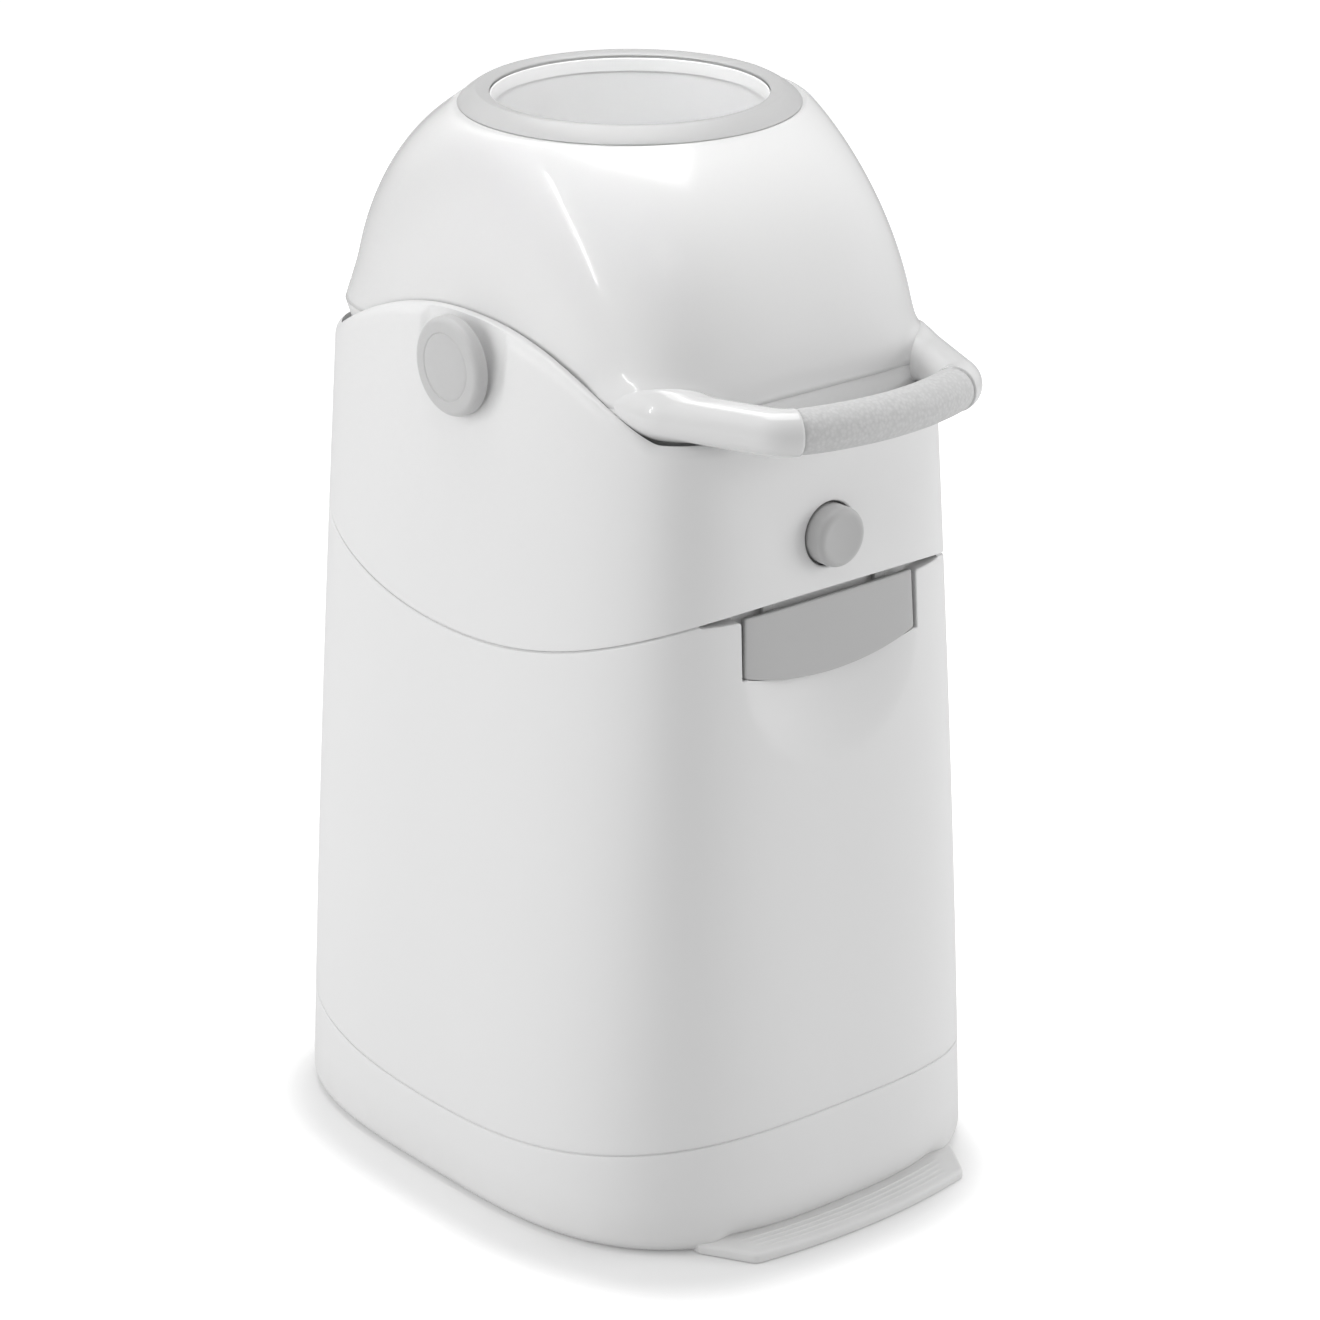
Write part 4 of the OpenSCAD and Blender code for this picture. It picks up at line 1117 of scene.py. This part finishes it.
@dataclass(frozen=True)
class FrontControls:
    """Lock button and latch flap."""

    latch: LatchPlace = field(default_factory=LatchPlace)
    button_out: float = 10.5
    stroke: float = 4.0
    flap_sink: float = 0.6
    flap_back: float = 3.6
    flap_edge_r: float = 1.0
    web_half_w: float = 45.0
    web_low: float = 8.0
    rise_w: float = 8.0
    hook_half_w: float = 18.0

    def button(self) -> Piece:
        """Turn the button, with a rounded edge and a slightly dished face."""
        r, e = SHAPE.button_r, 4.0
        face = [(AXIS, 0.75), (3, 0.72), (6, 0.6), (9, 0.4), (11.5, 0.16), (r - e - 0.4, 0.0)]
        edge = [(r - e + e * math.sin(u), e - e * math.cos(u)) for u in quarter(9)[1:]]
        stem = [(r, 18.0), (r - 2.4, 18.0), (r - 2.4, 3.0), (5, 3.0), (4, 3.4), (4, 25.0), (AXIS, 25.0)]
        obj = place(lathe("push_button", face + edge + stem, 160, solid=True), Z_TO_Y)
        return place(obj, shift(0, -SHAPE.half_d(SHAPE.button_z) - self.button_out, SHAPE.button_z))

    def flap_outline(self) -> np.ndarray:
        """Outline of the flap, counter-clockwise in x and z."""
        p = self.latch
        spread = p.flap_half_w * np.concatenate([[-1], np.linspace(-0.92, 0.92, 39), [1]])
        low = p.flap_top - p.flap_side_h
        bow = [(x * 1.02, z) for x, z in bowed(p.flap_half_w, p.flap_bow, low, spread)]
        corners = bow + [(p.flap_half_w, p.flap_top), (-p.flap_half_w, p.flap_top)]
        ring = round_outline(corners, [2.4] + [0.0] * 39 + [2.4, 1.6, 1.6])
        return even(ring)

    def plate(self) -> Piece:
        """Build the flap's curved plate with its rounded edge."""
        base, middle = self.flap_outline(), np.array([0, self.latch.flap_top - 20])
        sink, back, e = self.flap_sink, self.flap_back, self.flap_edge_r

        def layer(inset: float, depth: float, scale: float = 1.0) -> np.ndarray:
            """Ring of the plate, moved in from its edge and sunk from the wall."""
            return on_front(middle + (draw_in(base, inset) - middle) * scale, depth)

        rows = [layer(0, back, scale) for scale in (0.02, 0.25, 0.5, 0.75, 1.0)] + [layer(0, sink + e)]
        rows += [layer(inset, sink + rise) for rise, inset in roll(e, e, 5)]
        rows += [layer(e, sink, scale) for scale in (0.9, 0.75, 0.6, 0.45, 0.3, 0.15, 0.02)]
        return skin("plate", rows, caps=True)

    def flap(self) -> Piece:
        """Join the flap: the plate, its web with two rises, the barrel and the hook."""
        top, (y, z), w, hook = self.latch.flap_top, SHAPE.latch_pin, self.web_half_w, self.hook_half_w
        front = -SHAPE.half_d(top) + self.flap_sink
        parts = [self.plate()]
        low = top - self.web_low
        parts.append(rounded_block("web", (-w, front + 3, low), (w, y + 0.2, top - 5.0), 0.4))
        parts += [rounded_block("rise", (x, y - 2.4, low), (x + self.rise_w, y + 0.2, z), 0.4)
                  for x in (-w, w - self.rise_w)]
        parts.append(knuckle("barrel", -w - 0.5, w + 0.5, y, z, 3.5, 1.55))
        parts.append(rounded_block("hook", (-hook, front + 2, top - 18), (hook, front + 12.4, top - 14), 0.5))
        return join(parts, "latch_flap_body")

    def spring(self, palette: Palette) -> None:
        """Make the coil spring as a copy of its construction node, with its own mesh, tied to the head;
        nothing here shortens it as the button goes in.
        """
        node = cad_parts["button_spring"]
        coil = link_object("return_coil", node.data.copy())
        coil.matrix_world = node.matrix_world.copy()
        bpy.context.view_layer.update()
        finish_piece(coil, palette.steel, "head", ["button_spring"])
        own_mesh(coil)

    def build(self, palette: Palette) -> None:
        """Make and dress the button and the flap."""
        finish_piece(self.button(), palette.accent, "button", ["lock_button"])
        finish_piece(self.flap(), palette.accent, "latch", ["latch_flap"])
        self.spring(palette)


@dataclass(frozen=True)
class HandlePath:
    """Centre line of the bow handle in the drum's plane, right half."""

    reach: float = 216.0
    bend: float = 169.0
    half_w: float = 57.0
    corner: float = 18.0
    arm_deg: float = 68.0
    root_bend: float = 40.0
    root_y: float = 128.0
    inner_y: float = -100.0
    arm_r: float = 12.8

    def points(self, step: float = 1.5) -> tuple[np.ndarray, int]:
        """Centre line from the middle of the grip into the drum.

        Args:
            step: Spacing of the points.

        Returns:
            Points in plan, and the index where the grip ends.
        """
        cy = -self.reach + self.bend
        ga, aa = math.asin(self.half_w / self.bend), math.radians(self.arm_deg)
        ahead = np.array([math.cos(aa), math.sin(aa)])
        grip = [(self.bend * math.sin(a), cy - self.bend * math.cos(a)) for a in np.linspace(0, ga, 30)]
        c = np.array(grip[-1]) + self.corner * np.array([-math.sin(ga), math.cos(ga)])
        turn = [c + self.corner * np.array([math.sin(a), -math.cos(a)]) for a in np.linspace(ga, aa, 18)[1:]]
        start = turn[-1]
        length = (-self.root_y - self.root_bend * math.cos(aa) - start[1]) / math.sin(aa)
        run = [start + ahead * s for s in np.arange(step, length, step)]
        root_x = start[0] + length * math.cos(aa) + self.root_bend * (1 - math.sin(aa))
        rc = np.array([root_x - self.root_bend, -self.root_y])
        turns = np.linspace(math.pi / 2 - aa, 0, 12)
        lift = [rc + self.root_bend * np.array([math.cos(a), -math.sin(a)]) for a in turns]
        inner = [(root_x, y) for y in np.arange(-self.root_y + step, self.inner_y, step)]
        return np.array([*grip, *turn, *run, *lift, *inner]), len(grip) - 1


@dataclass(frozen=True)
class DrumPart:
    """Turning drum: domes, rings, tube, trunnions, caps, handle and grip."""

    handle: HandlePath = field(default_factory=HandlePath)
    blend: float = 8.0
    grip_r: float = 12.4
    cap_t: float = 8.4
    floor_h: float = 0.04
    lip_w: float = 3.4
    tube_t: float = 2.5
    crest_in: float = 8.0
    fine: int = 256

    def arm_distance(self, points: np.ndarray) -> np.ndarray:
        """Distance from points to the surface of the handle's arms."""
        near = points[:, 1] < -60
        q = points[near]
        d = np.full(len(q), 1e9)
        for x, y in self.handle.points()[0][::2]:
            d = np.minimum(d, (np.abs(q[:, 0]) - x) ** 2 + (q[:, 1] - y) ** 2 + q[:, 2] ** 2)
        out = np.full(len(points), 1e3)
        out[near] = np.sqrt(d) - self.handle.arm_r
        return out

    def dome(self) -> Piece:
        """Loft the upper dome, drawn out softly where the arms leave it."""
        top, low, steps = SHAPE.shell_top_h, self.floor_h, SHAPE.columns
        levels = [low] + [top * math.sin(math.pi / 2 * v) for v in np.linspace(0, 1, 84)[1:-1] ** 0.92]
        grid = np.stack([SHAPE.drum_row(h) for h in levels])
        normal = np.cross(np.roll(grid, -1, 1) - np.roll(grid, 1, 1), np.gradient(grid, axis=0))
        normal /= np.linalg.norm(normal, axis=2, keepdims=True)
        s = self.arm_distance(grid.reshape(-1, 3)).reshape(grid.shape[:2])
        lift = self.blend / 4 * np.clip(1 - s / self.blend, 0, 1.0) ** 2
        grid = grid + normal * np.where(s < 0, self.blend / 4, lift)[..., None]
        grid[:, :, 2] = np.maximum(grid[:, :, 2], low)
        lip_r = SHAPE.opening_r + self.lip_w
        lip = ((SHAPE.ring_r, top), (lip_r, top), (lip_r, top - 2.4))
        rows = [*grid] + [circle(r, h, steps) for r, h in lip]
        rows += [SHAPE.drum_row(h) * np.array([0.97, 0.98, 1.0]) for h in (top - 6, top * 0.7, low)]
        return skin("dome_top", rows, loop=True)

    def ring(self) -> Piece:
        """Turn the ring: a domed band with a rounded inner edge."""
        low, crest, fall = SHAPE.shell_top_h + 0.05, SHAPE.crest_h, 1.7
        outer, inner = SHAPE.ring_r, SHAPE.opening_r
        crest_r, base = inner + self.crest_in, low + 0.6
        wide, tall = outer - crest_r, crest - low - 0.6
        out = [(crest_r + wide * math.cos(u) ** fall, base + tall * math.sin(u) ** fall) for u in quarter(21)]
        turns, dip = np.radians(np.linspace(0, 62, 12))[1:], SHAPE.ring_dip
        inside = [(crest_r - self.crest_in * math.sin(u), crest - dip * (1 - math.cos(u))) for u in turns]
        z = inside[-1][1]
        step = [(inner + 0.5, z - 0.3), (inner + 0.4, z - 0.7), (inner + 0.9, z - 1.0), (inner + 1.4, low)]
        return lathe("opening_ring_top", [(outer - 0.4, low), *out, *inside, *step], self.fine, 45)

    def tube(self) -> Piece:
        """Join the tube and the pale linings that run from it up to the rings' inner edges."""
        flange, r = SHAPE.shell_top_h - 0.1, SHAPE.opening_r + 0.6
        wall = [(r, -flange), (r + self.tube_t, -flange), (r + self.tube_t, flange), (r, flange)]
        tube = lathe("chute_tube_wall", wall, self.fine)
        low, edge = SHAPE.shell_top_h + 0.05, SHAPE.crest_h - 0.53 * SHAPE.ring_dip
        outer, mouth, throat = SHAPE.opening_r + 0.3, SHAPE.opening_r - 0.6, SHAPE.opening_r - 1.4
        profile = [(throat, low - 2.2), (throat + 0.4, low - 2.45), (outer, low - 2.45), (outer, edge - 2.0),
                   (mouth + 0.5, edge - 1.8), (mouth, edge - 2.2), (throat, low + 0.4)]
        lining = lathe("lining_top", profile, self.fine)
        return join([tube, lining, copy_piece(lining, "lining_bottom", MIRROR_Z)], "chute_tube_wall")

    def cap(self) -> Piece:
        """Turn the side cap with a rounded rim and a shallow round line in its face."""
        r, t, e = SHAPE.cap_r, self.cap_t, 3.6
        g = r * 0.66
        turns = np.radians(np.linspace(90, 0, 12))
        rim = [(r - e + e * math.sin(u), t - e + e * math.cos(u)) for u in turns]
        groove = [(g + 1.1, t), (g + 0.8, t - 0.4), (g + 0.2, t - 0.5), (g - 0.3, t - 0.1), (g - 0.6, t)]
        profile = [(AXIS, 0.0), (r - 0.6, 0.0), (r, 0.5), *rim, *groove, (g * 0.5, t), (AXIS, t)]
        return lathe("cap_right_disc", profile, 160, 50, solid=True)

    def handle_mesh(self) -> tuple[Piece, Piece]:
        """Sweep the two arms and the sleeve of the grip."""
        half, cut = self.handle.points()
        full = np.concatenate([half[::-1], half[1:] * np.array([-1, 1])])
        tangent = np.gradient(full, axis=0)
        tangent /= np.linalg.norm(tangent, axis=1)[:, None]
        side = np.column_stack([tangent[:, 1], -tangent[:, 0]])
        t = np.arange(64) * 2 * math.pi / 64
        mid, arm_r, grip_r = len(half) - 1, self.handle.arm_r, self.grip_r
        start, end = mid - cut, mid + cut

        def ring_at(i: int, r: float) -> np.ndarray:
            """Circle of radius r across the centre line at point i."""
            return np.column_stack([full[i] + side[i] * (r * np.cos(t))[:, None], r * np.sin(t)])

        arm = [ring_at(i, arm_r) for i in range(start + 1)]
        neck = [mix(arm[-2], arm[-1], 0.8)] + [ring_at(start, arm_r - e) for e in (0.25, 3.2)]
        core = [ring_at(i, grip_r - 3) for i in range(start + 1, mid + 1)]
        right = skin("handle_arms", [*self.swell_arm(np.stack(arm[:-1] + neck + core))], caps=True)
        arms = join([right, copy_piece(right, "arm_left", MIRROR_X)], "handle_arms")
        soft = {0: 0.9, 1: 0.35, 2: 0.1}
        sleeve = [ring_at(i, grip_r - soft.get(min(i - start, end - i), 0)) for i in range(start, end + 1)]
        sleeve = [ring_at(start, grip_r - 2.9), *sleeve, ring_at(end, grip_r - 2.9)]
        return arms, skin("grip_sleeve", sleeve, caps=True)

    def swell_arm(self, grid: np.ndarray) -> np.ndarray:
        """Widen the arm softly where it meets the dome."""
        x, y, h = np.moveaxis(np.abs(grid), -1, 0)
        b = np.sqrt(np.maximum(1.0, SHAPE.drum_r**2 - h * h))
        n = SHAPE.belt_pow - (SHAPE.belt_pow - SHAPE.drum_pow) * np.clip(h / SHAPE.belt_h, 0, 1)
        level = (x / SHAPE.drum_half_w) ** n + (y / b) ** n
        gap = (level ** (1 / n) - 1) * np.hypot(x, y) * 0.8
        lift = self.blend / 4 * np.clip(1 - gap / self.blend, 0, 1) ** 2
        out = grid - grid.mean(axis=1, keepdims=True)
        out /= np.maximum(1e-6, np.linalg.norm(out, axis=2, keepdims=True))
        return grid + out * lift[..., None]

    def build(self, palette: Palette) -> None:
        """Make and dress the drum's pieces."""
        dome = self.dome()
        lower = copy_piece(dome, "dome_bottom", MIRROR_Z)
        ring = self.ring()
        ring_low = copy_piece(ring, "opening_ring_bottom", MIRROR_Z)
        tube = self.tube()
        arms, grip = self.handle_mesh()
        for obj, material, slot, node in (
            (dome, palette.dome, "drum_white", "drum_shell_top"),
            (lower, palette.dome, "drum_white", "drum_shell_bottom"),
            (ring, palette.ring, "ring_grey", "ring_top"),
            (ring_low, palette.ring, "ring_grey", "ring_bottom"),
            (tube, palette.tube, "inner_white", "chute_tube"),
            (arms, palette.dome, "drum_white", "handle_frame"),
            (grip, palette.grip, "grip_grey", "grip"),
        ):
            finish_piece(place(obj, shift(0, 0, SHAPE.pivot_z)), material, "drum", [node])
        side = SHAPE.half_w(SHAPE.pivot_z - SHAPE.cap_r) + 0.5
        right = place(place(self.cap(), Z_TO_X), shift(side, 0, SHAPE.pivot_z))
        left = copy_piece(right, "cap_left_disc", MIRROR_X)
        finish_piece(right, palette.cap, "drum", ["cap_right"])
        finish_piece(left, palette.cap, "drum", ["cap_left"])
        dress_nodes({"trunnion_left": palette.inner, "trunnion_right": palette.inner})


@dataclass(frozen=True)
class PistonPart:
    """Loose piston that falls through the drum's tube."""

    height: float = 38.0
    dish: float = 5.0

    def build(self, palette: Palette) -> None:
        """Make and dress the piston."""
        r, d, groove = SHAPE.opening_r, self.dish, SHAPE.opening_r - 2.5
        half = [(AXIS, d), (r - 24, d), (r - 21, d - 0.4), (r - 13, 0.3), (r - 11, 0.0), (r - 1.2, 0.0),
                (r - 0.3, 0.4), (r, 1.2), (r, 8.0), (groove, 8.0), (groove, 11.0), (r, 11.0)]
        profile = half + [(x, self.height - z) for x, z in reversed(half)]
        body = lathe("piston_body", profile, solid=True)
        place(body, shift(0, 0, SHAPE.pivot_z + (0.3 - (SHAPE.shell_top_h - 2.4))))
        finish_piece(body, palette.piston, "piston", ["piston"])
        dress_nodes({"piston_seals": palette.rubber})


# ---- Stage --------

WHITE = grey(1.0)


@dataclass(frozen=True)
class Softbox:
    """Rectangular studio lamp that looks at the bin."""

    name: str
    place_m: tuple[float, float, float]
    size_m: Point
    watts: float
    target_m: tuple[float, float, float] = (0.0, 0.0, 0.35)
    mirrored: bool = False
    spread_deg: float = 180.0

    def build(self) -> None:
        """Make the lamp."""
        data = bpy.data.lights.new(self.name, "AREA")
        data.shape, data.size, data.size_y, data.energy = "RECTANGLE", *self.size_m, self.watts
        data.spread = math.radians(self.spread_deg)
        lamp = link_object(self.name, data)
        lamp.location = self.place_m
        aim = Vector(self.target_m) - Vector(self.place_m)
        lamp.rotation_euler = aim.to_track_quat("-Z", "Y").to_euler()
        lamp.visible_glossy, lamp.visible_camera = self.mirrored, False


LAMPS = (
    Softbox("overhead_box", (0.2, 0.3, 2.6), (1.6, 1.6), 25.6, mirrored=True),
    Softbox("left_back_box", (-1.9, 1.5, 1.2), (1.3, 1.8), 19.0),
    Softbox("left_low_box", (-1.9, -0.3, 0.35), (1.0, 0.5), 4.3, (0.0, 0.0, 0.1)),
    Softbox("right_front_box", (2.0, -1.6, 0.7), (1.3, 1.3), 26.5),
    Softbox("top_left_box", (-1.2, -1.3, 2.6), (0.34, 0.34), 1.4, (0.0, 0.0, 0.55)),
    Softbox("opening_box", (-0.55, -0.7, 1.35), (0.2, 0.2), 0.08, (0.02, 0.03, 0.6), spread_deg=20),
    Softbox("streak_strip", (-1.96, 0.42, 1.1), (0.03, 1.0), 2.6, (-0.1, -0.06, 0.58), True),
    Softbox("arm_strip", (0.0, 0.95, 2.25), (0.07, 1.0), 2.2, (-0.08, -0.17, 0.49), True),
)


@dataclass(frozen=True)
class Studio:
    """Camera, lamps, world and floor."""

    azimuth: float = 39.83
    elevation: float = 21.6165
    distance: float = 2.6038
    focal_px: float = 4481.08
    frame_px: float = 1320.0
    slide_x: float = 0.0167
    aim_z: float = 0.2821
    ambient: float = 0.45
    floor_half: float = 9.0
    # Painted contact shadow on the floor: its middle, half size, roundness and reach; floor_glow is the glow
    # near and far.
    painted_shadow_shift: tuple[float, float, float] = (0.026, 0.022, 0.0)
    painted_shadow_half: tuple[float, float, float] = (0.145, 0.188, 1.0)
    painted_shadow_pow: float = 3.0
    painted_shadow_reach: float = 1.28
    floor_glow: Point = (0.155, 0.62)

    def camera(self) -> None:
        """Place the camera with its long lens."""
        a, e = math.radians(self.azimuth), math.radians(self.elevation)
        back = Vector((-math.sin(a) * math.cos(e), -math.cos(a) * math.cos(e), math.sin(e)))
        right = Vector((math.cos(a), -math.sin(a), 0))
        data = bpy.data.cameras.new("camera")
        data.sensor_width, data.lens = 36.0, self.focal_px / self.frame_px * 36
        data.clip_start, data.clip_end = 0.05, 60
        cam = link_object("camera", data)
        turn = Matrix((right, back.cross(right), back)).transposed().to_4x4()
        place_m = Vector((0, 0, self.aim_z)) + right * self.slide_x + back * self.distance
        cam.matrix_world = Matrix.Translation(place_m) @ turn
        bpy.context.scene.camera = cam

    def world(self) -> None:
        """Make the surround: white to the camera and through clear parts, softer as light."""
        world = bpy.data.worlds.new("studio_world")
        world.use_nodes = True
        world.node_tree.nodes.clear()
        graph = Graph(world.node_tree)
        path = graph.add("LightPath").outputs
        shown = graph.math("ADD", path["Is Camera Ray"], path["Is Transmission Ray"], clamp=True)
        strength = graph.remap(shown, 0.0, 1.0, self.ambient, 1.0)
        glow = graph.add("Background", {"Color": WHITE, "Strength": strength})
        graph.add("OutputWorld", {0: glow.outputs[0]})
        bpy.context.scene.world = world

    def floor(self) -> None:
        """Make the pale floor.

        Its glow is lower near the bin and rises away from it. This paints a soft, short contact shadow round
        the footprint, set off toward the left and front.
        """
        mesh, s = bpy.data.meshes.new("studio_floor"), self.floor_half
        mesh.from_pydata([(-s, -s, 0), (s, -s, 0), (s, s, 0), (-s, s, 0)], [], [(0, 1, 2, 3)])
        obj = link_object("studio_floor", mesh)
        mat = bpy.data.materials.new("pale_floor_painted_shadow")
        mat.use_nodes = True
        mat.node_tree.nodes.clear()
        graph = Graph(mat.node_tree)
        lit = graph.add("BsdfDiffuse", {"Color": grey(0.72)})
        path = graph.add("LightPath").outputs
        moved = graph.add("VectorMath", {0: graph.here(), 1: self.painted_shadow_shift}, operation="ADD").outputs[0]
        shrunk = graph.add("VectorMath", {0: moved, 1: self.painted_shadow_half}, operation="DIVIDE").outputs[0]
        parts = graph.add("SeparateXYZ", {0: shrunk}).outputs
        powers = [graph.math("POWER", graph.math("ABSOLUTE", parts[k]), self.painted_shadow_pow) for k in (0, 1)]
        away = graph.math("POWER", graph.math("ADD", *powers), 1.0 / self.painted_shadow_pow)
        # Painted shadow: the glow is low at the footprint and reaches full strength at the reach.
        painted_shadow_fade = graph.remap(away, 1.0, self.painted_shadow_reach, *self.floor_glow, interpolation_type="SMOOTHSTEP")
        strength = graph.math("MULTIPLY", path["Is Camera Ray"], painted_shadow_fade)
        lift = graph.add("Emission", {"Color": WHITE, "Strength": strength})
        both = graph.add("AddShader", {0: lit.outputs[0], 1: lift.outputs[0]})
        graph.add("OutputMaterial", {0: both.outputs[0]})
        mesh.materials.append(mat)

    def build(self) -> None:
        """Set up the whole stage."""
        self.camera()
        self.world()
        self.floor()
        for lamp in LAMPS:
            lamp.build()
        bpy.context.scene.view_settings.view_transform = "Standard"
        LOG.info("studio made")


def main() -> None:
    """Build the studio and every sub-assembly."""
    logging.basicConfig(level=logging.INFO, format="%(name)s: %(message)s")
    Studio().build()
    palette = Palette()
    for part in (BasePart(), BinBody(), HeadPart(), FrontControls(), DrumPart(), PistonPart()):
        part.build(palette)
        LOG.info("%s is made", type(part).__name__)


if __name__ == "__main__":
    main()
